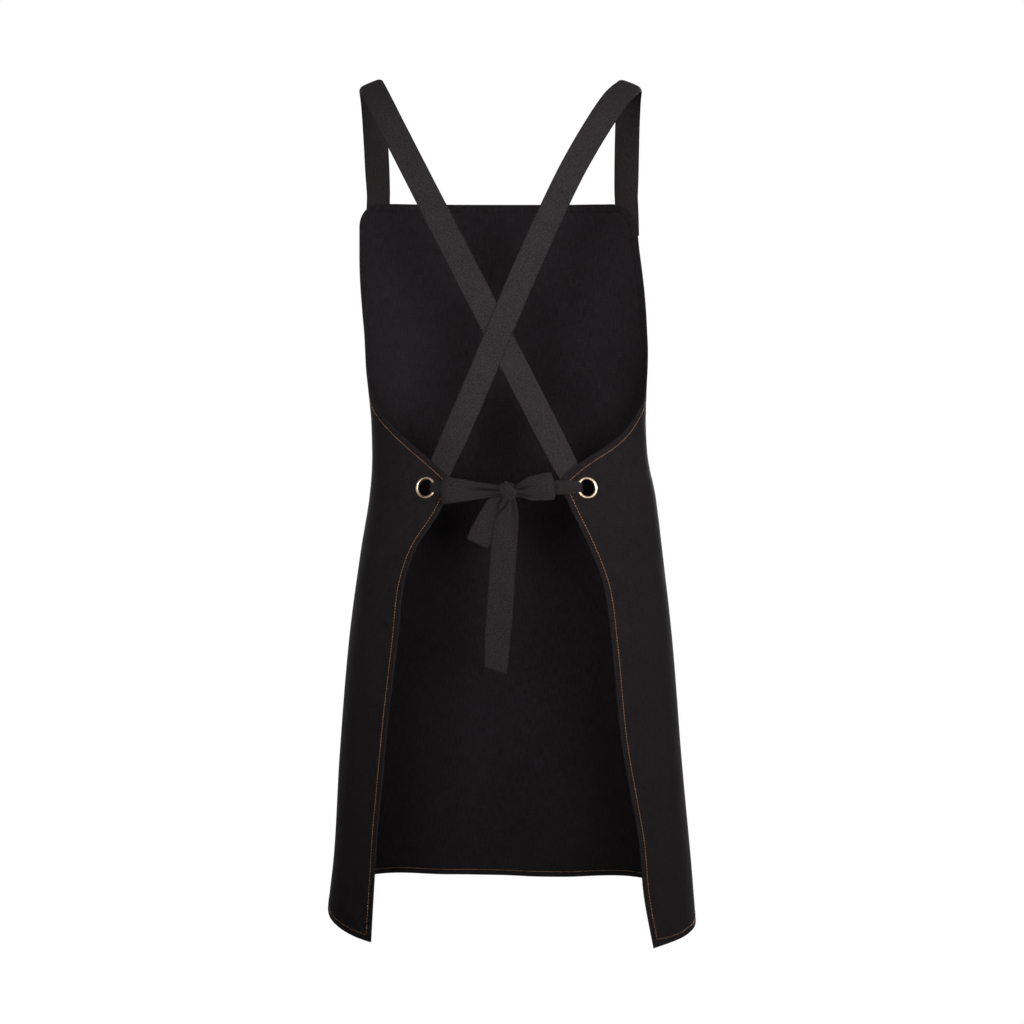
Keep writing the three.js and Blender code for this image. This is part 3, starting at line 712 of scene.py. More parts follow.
def creases_at(creases, share):
    """Place, width and depth of the creases that reach a share of the tape's length."""
    out = []
    for c in creases:
        if share < c["reach"]:
            depth = c["depth"] * (1 - ease(share / c["reach"]))
            out.append((c["across"] + c["drift"] * share, c["width"], depth))
    return out


def tape_piece(
    name, stops, finish, finest=4, turned=None, phase=0.0, creases=(), fine=TAPE_POINTS, shaded_face=-1
):
    """A woven tape swept along its stops, gathered into ripples where it is narrow, with painted shade on
    one face and in creases that sink into it.
    """
    curve = spline([s["place"] for s in stops])
    whole = sum((b["place"] - a["place"]).length for a, b in zip(stops, stops[1:]))
    ws = [-math.cos(math.pi * k / fine) for k in range(fine + 1)]
    section = [(w, 1) for w in ws] + [(w, -1) for w in reversed(ws[1:-1])]
    rings = tape_rings(stops, finest)
    points, weave, shade_marks = [], [], []
    length, before = 0, stops[0]["place"]
    for i, t in rings:
        a, b = stops[i], stops[i + 1]
        width, thick, cup, skew, droop = [a[key] + (b[key] - a[key]) * t for key in TAPE_SHAPE]
        centre = curve(i, t)
        ahead = (curve(i, min(t + 0.01, 1)) - curve(i, max(t - 0.01, 0))).normalized()
        face = a["face"].lerp(b["face"], t)
        face = (face - ahead * face.dot(ahead)).normalized()
        side = ahead.cross(face)
        length += (centre - before).length
        before = centre
        narrow = max(0, 1 - width / TAPE_WIDTH)
        near = creases_at(creases, length / whole)
        for w, h in section:
            dips = [(d, math.exp(-(((w - at) / wide) ** 2))) for at, wide, d in near]
            crease = sum(d * dip for d, dip in dips) * width / 2
            # Painted shade: creases that sink into the shaded face are marked darker, where shade would
            # fall in them.
            fold = sum(min(-d * shaded_face / 0.2, 1) * dip for d, dip in dips if d * shaded_face < 0)
            rim = (1 - abs(w) ** 12) ** 0.5 if abs(w) < 1 else 0
            ripple = RIPPLE * narrow * math.cos(2.6 * math.pi * w + phase + length * 0.02)
            sway = SWAY * math.sin(length * 0.13 + 2.1 * w) * (1 - narrow)
            height = h * rim * thick / 2 - cup * w * w - droop * w**6 + ripple + sway + crease
            points.append(centre + side * (w * width / 2) + face * height + ahead * (skew * w))
            weave.append((w * TAPE_WIDTH / 2 * MM, length * MM))
            # Painted shade: one face of the tape, picked by the last argument, is marked to be painted
            # darker.
            shade_marks.append(((1 + h * shaded_face) / 2, min(fold, 1)))
    if turned:
        points = [turned(p) for p in points]
    maps = {"Weave": weave, "Side": shade_marks}
    piece = mesh_piece(name, points, tape_faces(len(rings), fine), finish, maps)
    outward(piece)
    return piece


def away_from_core(p):
    """The direction that a carried strap faces, away from the body."""
    aside = STRAP_TURN["front" if p.y > 0 else "back"]
    return Vector((aside * p.x, p.y, p.z + max(-p.z, SHOULDER_ARCH))).normalized()


KNOT_AT = (SEATS[LEFT]["centre"] + SEATS[RIGHT]["centre"]) / 2 + Vector(
    (KNOT_SHIFT, -KNOT_BACK, -KNOT_LOW)
)


def bearing_of(side, x):
    """The bearing at which the bib's top edge is so far aside."""
    near, far = 0, 90
    for _ in range(30):
        middle = (near + far) / 2
        if abs(drape(side, 0, middle).x) < abs(x):
            near = middle
        else:
            far = middle
    return near


def sewn_stops(side):
    """The sewn end of a strap, up the bib's face."""
    around = bearing_of(side, side * STRAP_SPREAD + STRAP_SKEW)
    out = []
    for share in LAP_STOPS:
        level = share * STRAP_LAP / FRONT_LENGTH
        n = normal_of(cloth, side, max(level, 0), around)
        out.append(stop(cloth(side, level, around) + n * (GAP + TAPE_THICK / 2), n))
    return out


def local_stop(seat, tip, up, out, width, thick, cup, face):
    place = seat["centre"] + seat["along"] * tip + seat["up"] * up + seat["out"] * out
    look = (seat["along"] * face[0] + seat["out"] * face[1]).normalized()
    return stop(place, look, width, thick, cup)


def grommet_stops(side):
    """A strap's way under the wing, round the rim of its grommet and over the wing."""
    seat = SEATS[side]
    lowest = LIP_LOW - GAP - FOLD_THICK / 2
    highest = GAP + FLANGE_RISE + GAP + FOLD_THICK / 2
    in_hole = BORE_R - GAP - FOLD_THICK / 2 - HOLE_SLACK
    tall = RIM_SWELL * (highest - lowest) / 2
    stops = []
    for i, row in enumerate(UNDER_WING):
        tip = STRAP_ENTRY[side] if i == 0 else row["tip"] * TAPE_WIDTH
        out = lowest - row["below"] * TAPE_THICK
        size = (row["width"] * TAPE_WIDTH, row["thick"] * TAPE_THICK, row["cup"] * TAPE_THICK)
        stops.append(local_stop(seat, tip, row["up"] * TAPE_WIDTH, out, *size, (0, 1)))
    for turn in RIM_TURNS:
        c, s = math.cos(math.radians(turn)), math.sin(math.radians(turn))
        out = (lowest + highest) / 2 + tall * s
        size = (FOLD_WIDTH * BUNCH, FOLD_THICK, RIM_HUG * c)
        stops.append(local_stop(seat, in_hole + RIM_BEND * (1 - c), 0, out, *size, (c, -s)))
    for row in OVER_WING:
        out = highest + row["above"] * FOLD_THICK
        size = (row["width"] * FOLD_WIDTH, FOLD_THICK, 0)
        stops.append(local_stop(seat, row["tip"] * GROMMET_OUTER, 0, out, *size, (0, -1)))
    return stops


def carried_stops(side, start, finish):
    """A strap's free way over the shoulder and down the back, between its fastened ends."""
    top = Vector((side * SHOULDER_HALF + SHOULDER_SKEW, 0, TAPE_THICK / 2))
    places = []
    for row in FRONT_WAY:
        p = start.lerp(top, row["way"])
        p.z += FRONT_RISE * (start.y * row["depth"] - p.y)
        p.y = start.y * row["depth"]
        places.append(p)
    places.append(top)
    for row in BACK_WAY:
        p = top.lerp(finish, row["way"])
        lift = TAPE_THICK + 2 * GAP if side == RIGHT else 0
        near = 1 - ease((abs(row["way"] - CROSS_WAY) - CROSS_SPREAD / 2) / CROSS_SPREAD)
        back = -STRAP_DEPTH * row["depth"] - lift * near
        p.z += FRONT_RISE * (back - p.y)
        p.y = back
        p.x -= side * row[NAME[side]] * SHOULDER_HALF
        places.append(p)
    stops = []
    for p in places:
        droop = SHOULDER_DROOP * ease(1 - (p - top).length / DROOP_REACH)
        stops.append(stop(p, away_from_core(p), droop=droop))
    return stops


def strap_piece(side, finish):
    sewn = sewn_stops(side)
    through = grommet_stops(-side)
    carried = carried_stops(side, sewn[-1]["place"], through[0]["place"])
    inside = KNOT_AT + Vector((-side * KNOT_WIDTH * KNOT_ROOT, KNOT_DEPTH * 0.18, 0))
    ending = {**through[-1], "place": inside, "face": Vector((0, 1, 0)), "width": FOLD_WIDTH * 0.9}
    return tape_piece("strap_tape_" + NAME[side], [*sewn, *carried, *through, ending], finish)


# The bow


def loop_piece(side, finish):
    reach, start = BOW_REACH[side], KNOT_WIDTH * KNOT_ROOT
    stops = []
    for i, row in enumerate(LOOP):
        before, after = LOOP[max(i - 1, 0)], LOOP[min(i + 1, len(LOOP) - 1)]
        run = side * (after["out"] - before["out"]) * reach
        along = Vector((run, (before["depth"] - after["depth"]) * LOOP_DEPTH, 0))
        face = Vector((along.y, -along.x, 0)).normalized() * -side
        away = Vector(
            (side * (start + row["out"] * (reach - start)), -LOOP_OUT - row["depth"] * LOOP_DEPTH, 0)
        )
        bulge = -LOOP_BULGE * ease((row["out"] - 0.7) / 0.3)
        stops.append(stop(KNOT_AT + away, face, row[NAME[side]] * LOOP_WIDTH, cup=bulge))
    rise = -side * math.radians(LOOP_RISE[side])

    def turned(p):
        q = p - KNOT_AT
        c, s = math.cos(rise), math.sin(rise)
        return KNOT_AT + Vector((q.x * c + q.z * s, q.y, q.z * c - q.x * s))

    phase = 0.6 if side == LEFT else -0.9
    name = "bow_loop_tape_" + NAME[side]
    return tape_piece(name, stops, finish, 2, turned, phase, LOOP_CREASES[side], fine=40)


def tail_piece(row, finish):
    length, skew = TAIL_LENGTH[row["name"]], row["skew"]
    a = math.radians(row["lean"])
    down = Vector((math.sin(a), 0, -math.cos(a)))
    aside = Vector((math.cos(a), 0, math.sin(a)))
    root = KNOT_AT + Vector((row["shift"], -row["layer"], -KNOT_HEIGHT * TAIL_ROOT))
    stops = []
    for step in TAIL:
        share = step["share"]
        place = root + down * (share * length) + aside * (step["sway"] * length)
        place.y -= TAIL_KICK * share * share
        cup, slip = TAIL_CUP * (1 - share), skew * ease(share * 1.4 - 0.4)
        stops.append(stop(place, Vector((0, -1, 0)), step["width"] * TAPE_WIDTH, cup=cup, skew=slip))
    creases = TAIL_CREASES[row["name"]]
    name = "tail_tape_" + row["name"]
    # Painted shade on the tails' face that looks away from the body.
    return tape_piece(name, stops, finish, 2.5, phase=0.8, creases=creases, fine=32, shaded_face=1)


def knot_piece(finish):
    """The knot's lump, grooved beside the wrap and creased along it, with painted shade over it and
    deeper painted shade in its grooves and crease.
    """
    n_round, n_high = 72, 48
    half = Vector((KNOT_WIDTH / 2, KNOT_DEPTH / 2, KNOT_HEIGHT / 2))
    points, weave, shade_marks = [], [], []
    for j in range(n_high + 1):
        pole = math.pi * (j + 0.02) / (n_high + 0.04)
        for i in range(n_round):
            a = 2 * math.pi * i / n_round
            p = Vector((math.sin(pole) * math.cos(a), math.sin(pole) * math.sin(a), math.cos(pole)))
            slant = (p.x + KNOT_SLOPE * p.z) / KNOT_SPAN
            along = (KNOT_SLOPE * p.x - p.z) / KNOT_SPAN
            groove = math.exp(-(((abs(slant) - WRAP_EDGE) / GROOVE_WIDTH) ** 2))
            crease = math.exp(-(((along - 0.42 + 0.5 * slant) / 0.1) ** 2))
            fold = KNOT_FOLD * crease * (abs(slant) > 0.5)
            ridge = KNOT_RIDGE * math.sin(17 * slant + 2 * along) * math.exp(-(p.y + 1) ** 2)
            spot = Vector((p.x * half.x, p.y * half.y, p.z * half.z))
            spot += p * (ridge - GROOVE_DEPTH * groove - fold)
            points.append(KNOT_AT + spot)
            weave.append((slant * half.x * MM, along * half.x * MM))
            # Painted shade: the whole lump is marked darker, as shade from the wrap, and its grooves and
            # crease darker still.
            shade_marks.append((KNOT_PAINTED_SHADE, min(groove + fold, 1)))
    faces = []
    for j in range(n_high):
        for i in range(n_round):
            k = (i + 1) % n_round
            a, b = j * n_round, (j + 1) * n_round
            faces.append((a + i, b + i, b + k, a + k))
    low = n_high * n_round
    faces += [tuple(range(n_round)), tuple(low + i for i in reversed(range(n_round)))]
    piece = mesh_piece("bow_knot_lump", points, faces, finish, {"Weave": weave, "Side": shade_marks})
    outward(piece)
    return piece


def knot_wrap(finish):
    """The turn of tape that slants over the knot, from upper left to lower right."""
    way = Vector((0.66, 0, -0.75))
    stops = []
    for turn in (-104, -78, -50, -22, 6, 34, 60, 84, 104):
        a = math.radians(turn)
        out = Vector((0, -math.cos(a), 0))
        place = KNOT_AT + way * (math.sin(a) * WRAP_REACH) + out * WRAP_DEPTH
        face = (way * math.sin(a) * 0.7 + out).normalized()
        stops.append(stop(place, face, WRAP_WIDTH + 1.2 * math.cos(a), WRAP_THICK, 2.6))
    return tape_piece("bow_knot_wrap", stops, finish, 1.5, creases=WRAP_CREASES, fine=40)


# The grommets


def ring_piece(name, profile, seat, finish):
    """A closed profile turned once round a grommet's middle."""
    n, m = 64, len(profile)
    faces = []
    for k in range(n):
        for j in range(m):
            a, b = k * m + j, k * m + (j + 1) % m
            c, d = ((k + 1) % n) * m + (j + 1) % m, ((k + 1) % n) * m + j
            faces.append((a, b, c, d))
    piece = mesh_piece(name, turned_profile(seat, profile, n), faces, finish)
    outward(piece)
    return piece


def eyelet_piece(side, finish):
    """Flange, barrel and the lip that is rolled over the washer, in one piece of brass."""
    middle, half = (BORE_R + FLANGE_R) / 2, (FLANGE_R - BORE_R) / 2
    lip_r, lip_top = BARREL_R + LIP_REACH, WASHER_LOW - GAP
    crown = []
    for k in range(13):
        a = math.pi * k / 12
        rise = GAP + METAL_EDGE + (FLANGE_RISE - METAL_EDGE) * math.sin(a) ** 0.75
        crown.append((middle + half * math.cos(a), rise))
    profile = [
        (BORE_R, LIP_LOW + METAL_EDGE),
        (BORE_R + METAL_SOFT, LIP_LOW),
        (lip_r - METAL_SOFT, LIP_LOW),
        (lip_r, LIP_LOW + METAL_SOFT),
        (lip_r, lip_top),
        (BARREL_R, lip_top),
        (BARREL_R, GAP),
        (FLANGE_R, GAP),
        *crown,
    ]
    return ring_piece("eyelet_ring_" + NAME[side], profile, SEATS[side], finish)


def washer_piece(side, finish):
    inner, soft = BARREL_R + GAP, METAL_SOFT
    profile = [
        (inner, WASHER_LOW + soft),
        (inner + soft, WASHER_LOW),
        (FLANGE_R - soft, WASHER_LOW),
        (FLANGE_R, WASHER_LOW + soft),
        (FLANGE_R, WASHER_TOP - soft),
        (FLANGE_R - soft, WASHER_TOP),
        (inner, WASHER_TOP),
    ]
    return ring_piece("washer_ring_" + NAME[side], profile, SEATS[side], finish)


# Stitches


def add_node(tree, kind, settings=None, values=None):
    """Adds a node: its settings first, then a value or a link for each named socket."""
    node = tree.nodes.new(kind)
    for key, value in (settings or {}).items():
        setattr(node, key, value)
    for key, value in (values or {}).items():
        socket = node.inputs[key]
        if isinstance(value, bpy.types.NodeSocket):
            tree.links.new(value, socket)
        else:
            socket.default_value = value
    return node


def stitch_tree():
    """Stitches of one thread along every chain of edges."""
    tree = bpy.data.node_groups.new("Topstitch", "GeometryNodeTree")
    face = tree.interface
    face.new_socket("Geometry", in_out="INPUT", socket_type="NodeSocketGeometry")
    for name in ("Stitch", "Space", "Thread"):
        face.new_socket(name, in_out="INPUT", socket_type="NodeSocketFloat")
    face.new_socket("Seed", in_out="INPUT", socket_type="NodeSocketInt")
    face.new_socket("Finish", in_out="INPUT", socket_type="NodeSocketMaterial")
    face.new_socket("Geometry", in_out="OUTPUT", socket_type="NodeSocketGeometry")

    def add(kind, settings=None, **values):
        named = {key.replace("_", " "): value for key, value in values.items()}
        return add_node(tree, kind, settings, named).outputs

    def maths(operation, a, b):
        return add_node(tree, "ShaderNodeMath", {"operation": operation}, {0: a, 1: b}).outputs[0]

    given = add("NodeGroupInput")
    pitch = maths("ADD", given["Stitch"], given["Space"])
    seam = add("GeometryNodeMeshToCurve", Mesh=given["Geometry"])["Curve"]
    spots = add("GeometryNodeCurveToPoints", {"mode": "LENGTH"}, Curve=seam, Length=pitch)
    bead = add("GeometryNodeMeshUVSphere", Segments=6, Rings=5, Radius=0.5)["Mesh"]
    vary = add("FunctionNodeRandomValue", {"data_type": "FLOAT"}, Min=0.9, Max=1.04, Seed=given["Seed"])
    long = maths("MULTIPLY", given["Stitch"], next(o for o in vary if o.enabled))
    size = add("ShaderNodeCombineXYZ", X=given["Thread"], Y=given["Thread"], Z=long)[0]
    placed = add(
        "GeometryNodeInstanceOnPoints",
        Points=spots["Points"],
        Instance=bead,
        Rotation=spots["Rotation"],
        Scale=size,
    )[0]
    real = add("GeometryNodeRealizeInstances", Geometry=placed)[0]
    smooth = add("GeometryNodeSetShadeSmooth", Geometry=real)[0]
    painted = add("GeometryNodeSetMaterial", Geometry=smooth, Material=given["Finish"])[0]
    add("NodeGroupOutput", Geometry=painted)
    return tree


def stitches(name, chains, finish, seed, thread=THREAD):
    """One piece of stitches along chains of points in millimetres; a chain is open or closed."""
    points, edges = [], []
    for chain, closed in chains:
        first = len(points)
        points += [tuple(p * MM) for p in chain]
        edges += [(first + i, first + i + 1) for i in range(len(chain) - 1)]
        if closed:
            edges.append((len(points) - 1, first))
    mesh = bpy.data.meshes.new(name)
    mesh.from_pydata(points, edges, [])
    piece = bpy.data.objects.new(name, mesh)
    bpy.context.scene.collection.objects.link(piece)
    tree = stitch_tree()
    maker = piece.modifiers.new("stitches", "NODES")
    maker.node_group = tree
    values = {"Stitch": STITCH * MM, "Space": STITCH_SPACE * MM, "Thread": thread * MM}
    values |= {"Seed": seed, "Finish": finish}
    for item in tree.interface.items_tree:
        if item.in_out == "INPUT" and item.name in values:
            maker[item.identifier] = values[item.name]
    settle(piece)
    return piece


def ways_along(side, level, bearings):
    """How far along the cloth each bearing lies from the first."""
    spots = np.array([tuple(cloth(side, level, b)) for b in bearings])
    return np.concatenate([[0], np.cumsum(np.linalg.norm(np.diff(spots, axis=0), axis=1))])


def bearing_at(side, level, way):
    """The bearing that lies so far along the cloth from the middle."""
    bearings = np.linspace(0, wrap(side, level) + 4, 40)
    return float(np.interp(way, ways_along(side, level, bearings), bearings))


def seam_side(side, inset):
    """The seam inside one side's edge, from the bib's top to the hem."""
    levels = [BIB_CORNER * (1 - math.cos(math.radians(a))) / FRONT_LENGTH for a in range(0, 90, 9)]
    levels += [v / FRONT_LENGTH for v in between([BIB_CORNER, FRONT_LENGTH], 5)]
    edge = []
    for level in levels:
        bearings = np.linspace(0, edge_around(side, level), 26)
        edge.append((ways_along(side, level, bearings)[-1], level * FRONT_LENGTH))
    edge = np.array(edge)
    tangent = np.gradient(edge, axis=0)
    tangent[0] = (1, 0)
    tangent /= np.linalg.norm(tangent, axis=1, keepdims=True)
    inside = edge + np.stack([-tangent[:, 1], tangent[:, 0]], axis=1) * inset
    keep = [p for p in inside if inset - 0.1 <= p[1] <= FRONT_LENGTH - inset]
    return [(side, v / FRONT_LENGTH, bearing_at(side, v / FRONT_LENGTH, u)) for u, v in keep]


def on_cloth(side, level, around, rise):
    """A point that stands off the cloth's outer face."""
    n = normal_of(cloth, side, min(max(level, 0.003), 0.997), around)
    if around < 0.5:
        n = Vector((0, 1, 0))
    return cloth(side, level, around) + n * rise


def across_front(level, a, b, count):
    """Even places across the front, from bearing a to b; bearings to the left are negative."""
    return [(LEFT if x < 0 else RIGHT, level, abs(x)) for x in np.linspace(a, b, count)]


def seam_chain(inset, rise):
    """The closed seam all round the panel, on its face."""
    left, right = seam_side(LEFT, inset), seam_side(RIGHT, inset)
    top, low = inset / FRONT_LENGTH, 1 - inset / FRONT_LENGTH
    chain = across_front(top, -left[0][2], right[0][2], 60)[1:-1] + right
    chain += across_front(low, right[-1][2], -left[-1][2], 60)[1:-1] + left[::-1]
    return [on_cloth(*spot, rise) for spot in chain]


def hem_inside_chain(inset, rise):
    """The same seam where it shows inside the front hem, between the wings."""
    spots = across_front(1 - inset / FRONT_LENGTH, *HEM_SHOWS, 120)
    return [on_cloth(*spot, -HEM_THICK - rise) for spot in spots]


def sewn_end_chain(side):
    """The plain square of stitches that holds a strap's end on the bib."""
    stops = sewn_stops(side)
    low, high = stops[0]["place"], stops[3]["place"]
    n = stops[1]["face"]
    up = (high - low).normalized()
    aside = up.cross(n).normalized() * (TAPE_WIDTH / 2 - END_MARGIN)
    a, b = low + up * END_MARGIN, high - up * (2 * END_MARGIN)
    corners = [a - aside, a + aside, b + aside, b - aside]
    chain = []
    for p, q in zip(corners, corners[1:] + corners[:1]):
        chain += [p.lerp(q, t / 8) for t in range(8)]
    return [p + n * (TAPE_THICK / 2 + 0.2) for p in chain]


# Finishes

FACE_TONES = (0.0048, 0.0038, 0.0041), (0.0152, 0.0121, 0.0131)
REVERSE_TONES = (0.0047, 0.0038, 0.0045), (0.0148, 0.0118, 0.0138)
TAPE_TONES = (0.008, 0.0066, 0.007), (0.0342, 0.028, 0.0292)
# The near-black tone of the tape's painted shade
TAPE_PAINTED_SHADE = (0.003, 0.0025, 0.0026)
BRASS_TONES = (0.6, 0.42, 0.26), (0.9, 0.72, 0.52)
COPPER_TONES = (0.13, 0.045, 0.018), (0.4, 0.195, 0.095)
GREY_TONES = (0.02, 0.017, 0.018), (0.05, 0.042, 0.044)

# Weave pitches, in metres as the maps are
TWILL_PITCH = 0.0015
WARP_PITCH = 0.00075
PUCKER_PITCH = 0.0115
RIB_PITCH = 0.0011
ENDS_PITCH = 0.0013
ENDS_SWING = 0.0044
PLY_PITCH = 0.0007
ROUND = 2 * math.pi


class Wire:
    """A shader value: arithmetic on it adds Math nodes."""

    def __init__(self, finish, socket):
        self.finish, self.socket = finish, socket

    def math(self, operation, *others):
        values = {i + 1: v for i, v in enumerate(others)}
        return self.finish.add("ShaderNodeMath", {"operation": operation}, {0: self, **values})[0]

    def __add__(self, other):
        return self.math("ADD", other)

    def __mul__(self, other):
        return self.math("MULTIPLY", other)

    def __sub__(self, other):
        return self.math("SUBTRACT", other)

    def __truediv__(self, other):
        return self.math("DIVIDE", other)

    def __pow__(self, other):
        return self.math("POWER", other)

    def __rsub__(self, other):
        return self * -1 + other

    __radd__ = __add__
    __rmul__ = __mul__

    def sine(self):
        return self.math("SINE")

    def waves(self, pitch):
        return (self * (ROUND / pitch)).sine() * 0.5 + 0.5

    def held(self, low=0.0, high=1.0):
        return self.math("MAXIMUM", low).math("MINIMUM", high)

    def step(self, low, high):
        values = {"Value": self, "From Min": low, "From Max": high}
        return self.finish.add("ShaderNodeMapRange", {"interpolation_type": "SMOOTHSTEP"}, values)[0]


class Made:
    """A node that was added: its outputs by name or number."""

    def __init__(self, finish, node):
        self.finish, self.node = finish, node

    def __getitem__(self, key):
        return Wire(self.finish, self.node.outputs[key])


class Finish:
    """A material and the nodes that make its look."""

    def __init__(self, name):
        self.material = bpy.data.materials.new(name)
        self.material.use_nodes = True
        self.tree = self.material.node_tree
        self.tree.nodes.clear()

    def add(self, kind, settings=None, values=None):
        plain = {k: v.socket if isinstance(v, Wire) else v for k, v in (values or {}).items()}
        return Made(self, add_node(self.tree, kind, settings, plain))

    def uv(self, name):
        return self.add("ShaderNodeUVMap", {"uv_map": name})["UV"]

    def parts(self, vector):
        made = self.add("ShaderNodeSeparateXYZ", {}, {0: vector})
        return made["X"], made["Y"], made["Z"]

    def noise(self, at, scale, detail=3.0, rough=0.55):
        values = {"Vector": at, "Scale": scale, "Detail": detail, "Roughness": rough}
        return self.add("ShaderNodeTexNoise", {}, values)[0]

    def stretched(self, at, across, along):
        return self.add("ShaderNodeMapping", {}, {"Vector": at, "Scale": (across, along, 1.0)})[0]

    def mix(self, share, a, b):
        a, b = [(*tone, 1.0) if isinstance(tone, tuple) else tone for tone in (a, b)]
        return self.add("ShaderNodeMix", {"data_type": "RGBA"}, {0: share, 6: a, 7: b})[2]

    def bump(self, height, strength, distance):
        values = {"Strength": strength, "Distance": distance, "Height": height}
        return self.add("ShaderNodeBump", {}, values)["Normal"]

    def finish(self, **values):
        named = {key.replace("_", " "): value for key, value in values.items()}
        bsdf = self.add("ShaderNodeBsdfPrincipled", {}, named)
        self.add("ShaderNodeOutputMaterial", {}, {"Surface": bsdf["BSDF"]})
        return self.material


def cloth_finish():
    f = Finish("black_twill")
    uv = f.uv("Weave")
    u, v, _ = f.parts(uv)
    way, along, _ = f.parts(f.uv("Border"))
    inside, _, _ = f.parts(f.uv("Reverse"))
    wobble = f.noise(uv, 90.0, 2.0) * 0.0006
    twill = (u + v * 1.3 + wobble).waves(TWILL_PITCH)
    warp = u.waves(WARP_PITCH)
    slub = f.noise(f.stretched(uv, 900.0, 70.0), 1.0, 2.0)
    weft = f.noise(f.stretched(uv, 80.0, 1000.0), 1.0, 2.0)
    patch = f.noise(uv, 7.0)
    cloud = f.noise(uv, 46.0)
    seam = (((way - STITCH_INSET * MM) / 0.0022) ** 2 * -1).math("EXPONENT")
    pucker = (along * (ROUND / PUCKER_PITCH) + cloud * 9).sine() * seam
    # Lighter along the cloth's folded rim: edge wear, and a painted highlight where the rim catches the
    # light.
    rim = 1 - way.step(0.0, 0.0016)
    shade = 0.55 + (twill - 0.5) * 0.26 + (slub - 0.5) * 1.5 + (weft - 0.5) * 1.1
    shade = (shade + (patch - 0.5) * 0.35 + (cloud - 0.5) * 0.3 + rim * 0.35).held()
    height = twill * 0.5 + warp * 0.12 + slub * 0.5 + weft * 0.35 + pucker * 1.6 + cloud * 0.5
    return f.finish(
        Base_Color=f.mix(inside, f.mix(shade, *FACE_TONES), f.mix(shade, *REVERSE_TONES)),
        Roughness=(0.9 + (cloud - 0.5) * 0.12).held(),
        Normal=f.bump(height, 0.55, 0.0004),
        Specular_IOR_Level=0.05,
        Sheen_Weight=0.015,
        Sheen_Roughness=0.5,
        Sheen_Tint=(0.9, 0.82, 0.88, 1.0),
    )


def tape_finish():
    f = Finish("grey_tape")
    shaded_face, fold, _ = f.parts(f.uv("Side"))
    uv = f.uv("Weave")
    u, v, _ = f.parts(uv)
    rib = v.waves(RIB_PITCH)
    swing = (v * (ROUND / ENDS_SWING)).sine() * 1.3
    ends = (u * (ROUND / ENDS_PITCH) + swing).sine() * 0.5 + 0.5
    fleck = f.noise(f.stretched(uv, 480.0, 700.0), 1.0, 4.0, 0.72)
    yarn = f.noise(f.stretched(uv, 900.0, 130.0), 1.0, 2.0)
    patch = f.noise(uv, 34.0, 2.0)
    # Darker along the tape's two edges, which also stand a little raised in the bump.
    edge_band = ((u * u).math("SQRT") / (TAPE_WIDTH / 2 * MM)).step(0.9, 0.97)
    shade = 0.5 + (fleck - 0.5) * 3.4 + (yarn - 0.5) * 0.8 + (rib - 0.5) * 0.16 + (ends - 0.5) * 0.2
    shade = (shade + (patch - 0.5) * 0.25 - edge_band * 0.22).held()
    # Painted shade: the shaded face and the crease valleys mix the tape's colour toward the near-black
    # tone.
    painted_shade = (shaded_face * 0.26 + fold * 0.75).held(0.0, 0.92)
    height = rib * 0.5 + ends * 0.7 + fleck * 0.9 + yarn * 0.5 + edge_band * 0.5
    return f.finish(
        Base_Color=f.mix(painted_shade, f.mix(shade, *TAPE_TONES), TAPE_PAINTED_SHADE),
        Roughness=(0.86 + (fleck - 0.5) * 0.2).held(),
        Normal=f.bump(height, 0.6, 0.0004),
        Specular_IOR_Level=0.08,
        Sheen_Weight=0.02,
        Sheen_Roughness=0.5,
        Sheen_Tint=(0.95, 0.88, 0.9, 1.0),
    )


def brass_finish():
    f = Finish("satin_brass")
    at = f.add("ShaderNodeTexCoord")["Object"]
    fine = f.noise(at, 1400.0, 4.0, 0.6)
    broad = f.noise(at, 160.0)
    return f.finish(
        Base_Color=f.mix((broad * 1.2 - 0.1).held(), *BRASS_TONES),
        Metallic=1.0,
        Roughness=(0.3 + fine * 0.16 + (broad - 0.5) * 0.1).held(),
        Normal=f.bump(fine, 0.25, 0.00015),
    )


def thread_finish(name, tones):
    f = Finish(name)
    at = f.add("ShaderNodeTexCoord")["Object"]
    x, y, z = f.parts(at)
    ply = (x + z - y * 0.6).waves(PLY_PITCH)
    base = f.mix((ply * 0.5 + f.noise(at, 260.0, 2.0) * 0.6 - 0.05).held(), *tones)
    return f.finish(
        Base_Color=base, Roughness=0.55, Normal=f.bump(ply, 0.5, 0.0002), Specular_IOR_Level=0.4
    )


# The pieces

BLACK_TWILL = cloth_finish()
GREY_TAPE = tape_finish()
SATIN_BRASS = brass_finish()
COPPER_THREAD = thread_finish("copper_thread", COPPER_TONES)
GREY_THREAD = thread_finish("grey_thread", GREY_TONES)

SLOTS = {"cloth": "panel_cloth", "tape": "strap_tape", "brass": "grommet_brass"}


def seated(piece, slot, *nodes):
    """Puts a finished piece in the frame, in place of its nodes."""
    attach(piece, "root")
    if nodes:
        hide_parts(*nodes)
    SLOTS[slot]
    return piece


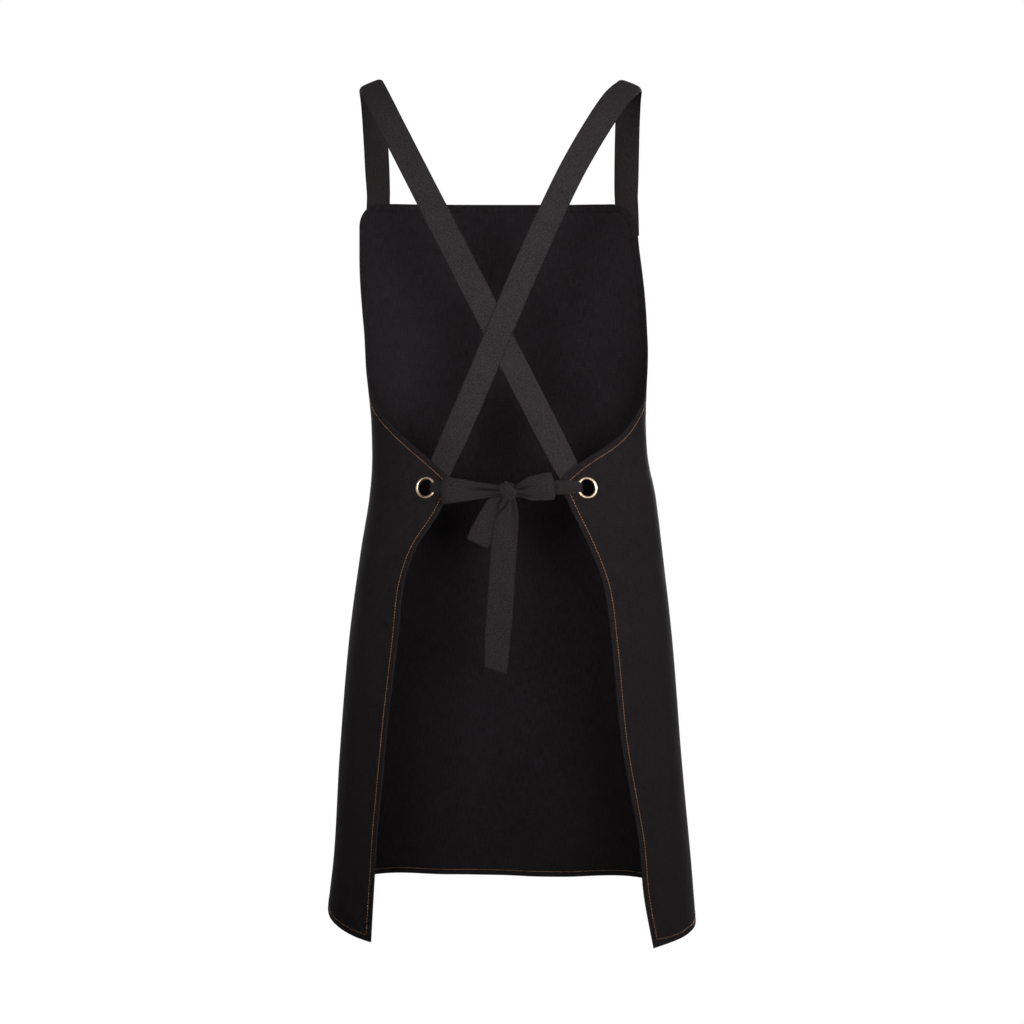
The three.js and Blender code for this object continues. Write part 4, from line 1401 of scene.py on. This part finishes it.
panel = seated(panel_piece(BLACK_TWILL), "cloth", "apron_panel")
seam = [(seam_chain(STITCH_INSET, SEAM_RISE), True)]
topstitch = seated(stitches("topstitch_copper", seam, COPPER_THREAD, seed=3), "cloth")
seam = [(hem_inside_chain(STITCH_INSET, SEAM_RISE), False)]
hem_stitch = seated(stitches("hem_stitch_inside", seam, COPPER_THREAD, seed=5), "cloth")
for side in SIDES:
    name = NAME[side]
    seated(strap_piece(side, GREY_TAPE), "tape", "strap_" + name)
    seated(loop_piece(side, GREY_TAPE), "tape", "bow_loop_" + name)
    seated(eyelet_piece(side, SATIN_BRASS), "brass", "grommet_eyelet_" + name)
    seated(washer_piece(side, SATIN_BRASS), "brass", "grommet_washer_" + name)
squares = [(sewn_end_chain(side), True) for side in SIDES]
seated(stitches("strap_end_stitches", squares, GREY_THREAD, seed=9, thread=END_THREAD), "tape")
seated(knot_piece(GREY_TAPE), "tape", "bow_knot")
seated(knot_wrap(GREY_TAPE), "tape")
for row in TAIL_HANG:
    seated(tail_piece(row, GREY_TAPE), "tape", "tail_" + row["name"])

# Floor, light and camera


def glow(name, strength):
    """An even white that gives off light."""
    f = Finish(name)
    lamp = f.add("ShaderNodeEmission", {}, {"Color": (1.0, 1.0, 1.0, 1.0), "Strength": strength})
    f.add("ShaderNodeOutputMaterial", {}, {"Surface": lamp[0]})
    return f.material


FLOOR_HALF = 6000
FLOOR_LEVEL = -1420
corners = [(x * FLOOR_HALF, y * FLOOR_HALF, FLOOR_LEVEL) for x, y in ((-1, -1), (1, -1), (1, 1), (-1, 1))]
floor = mesh_piece("floor", corners, [(0, 1, 2, 3)], glow("pale_floor", 1.0), smooth=False)
floor.visible_diffuse = floor.visible_glossy = floor.visible_shadow = False

world = bpy.data.worlds.new("studio")
world.use_nodes = True
world.node_tree.nodes["Background"].inputs["Color"].default_value = (1.0, 1.0, 1.0, 1.0)
world.node_tree.nodes["Background"].inputs["Strength"].default_value = 1.0
world.cycles_visibility.diffuse = world.cycles_visibility.glossy = False
bpy.context.scene.world = world

LAMPS = rows(
    "name place aim size spread watts",
    ("key_left", (-0.74, -3.2, -0.28), (0.0, 0, -0.28), 1.2, 47, 5.8),
    ("key_right", (0.74, -3.2, -0.28), (0.0, 0, -0.28), 1.2, 47, 6.0),
    ("left_fill", (-2.5, -0.8, -0.2), (0, 0, -0.75), 1.4, 180, 6),
    ("right_fill", (2.5, -0.95, -0.2), (0, 0, -0.75), 1.2, 180, 40),
    ("front_fill", (1.0, 3.4, 0.4), (0, 0, -0.5), 1.6, 180, 230),
    ("front_left", (-1.5, 3.4, 0.2), (0, 0, -0.5), 1.4, 180, 60),
)
for row in LAMPS:
    lamp = bpy.data.lights.new(row["name"], "AREA")
    lamp.shape, lamp.size, lamp.energy = "DISK", row["size"], row["watts"]
    lamp.spread = math.radians(row["spread"])
    holder = bpy.data.objects.new(row["name"], lamp)
    holder.location = row["place"]
    holder.rotation_mode = "QUATERNION"
    holder.rotation_quaternion = (Vector(row["place"]) - Vector(row["aim"])).to_track_quat("Z", "Y")
    bpy.context.scene.collection.objects.link(holder)

# A level camera behind the apron; its lens and turn are given in the picture's pixels
PICTURE = 1024
LENS = 2235
TURN = 7
CAMERA_AT = (0, -3.0, -0.5743)
camera = bpy.data.cameras.new("camera")
camera.sensor_width = 36
camera.lens = LENS / PICTURE * camera.sensor_width
viewer = bpy.data.objects.new("camera", camera)
viewer.location = CAMERA_AT
viewer.rotation_euler = (math.radians(90), 0, -math.atan(TURN / LENS))
bpy.context.scene.collection.objects.link(viewer)
bpy.context.scene.camera = viewer
bpy.context.scene.view_settings.view_transform = "Standard"
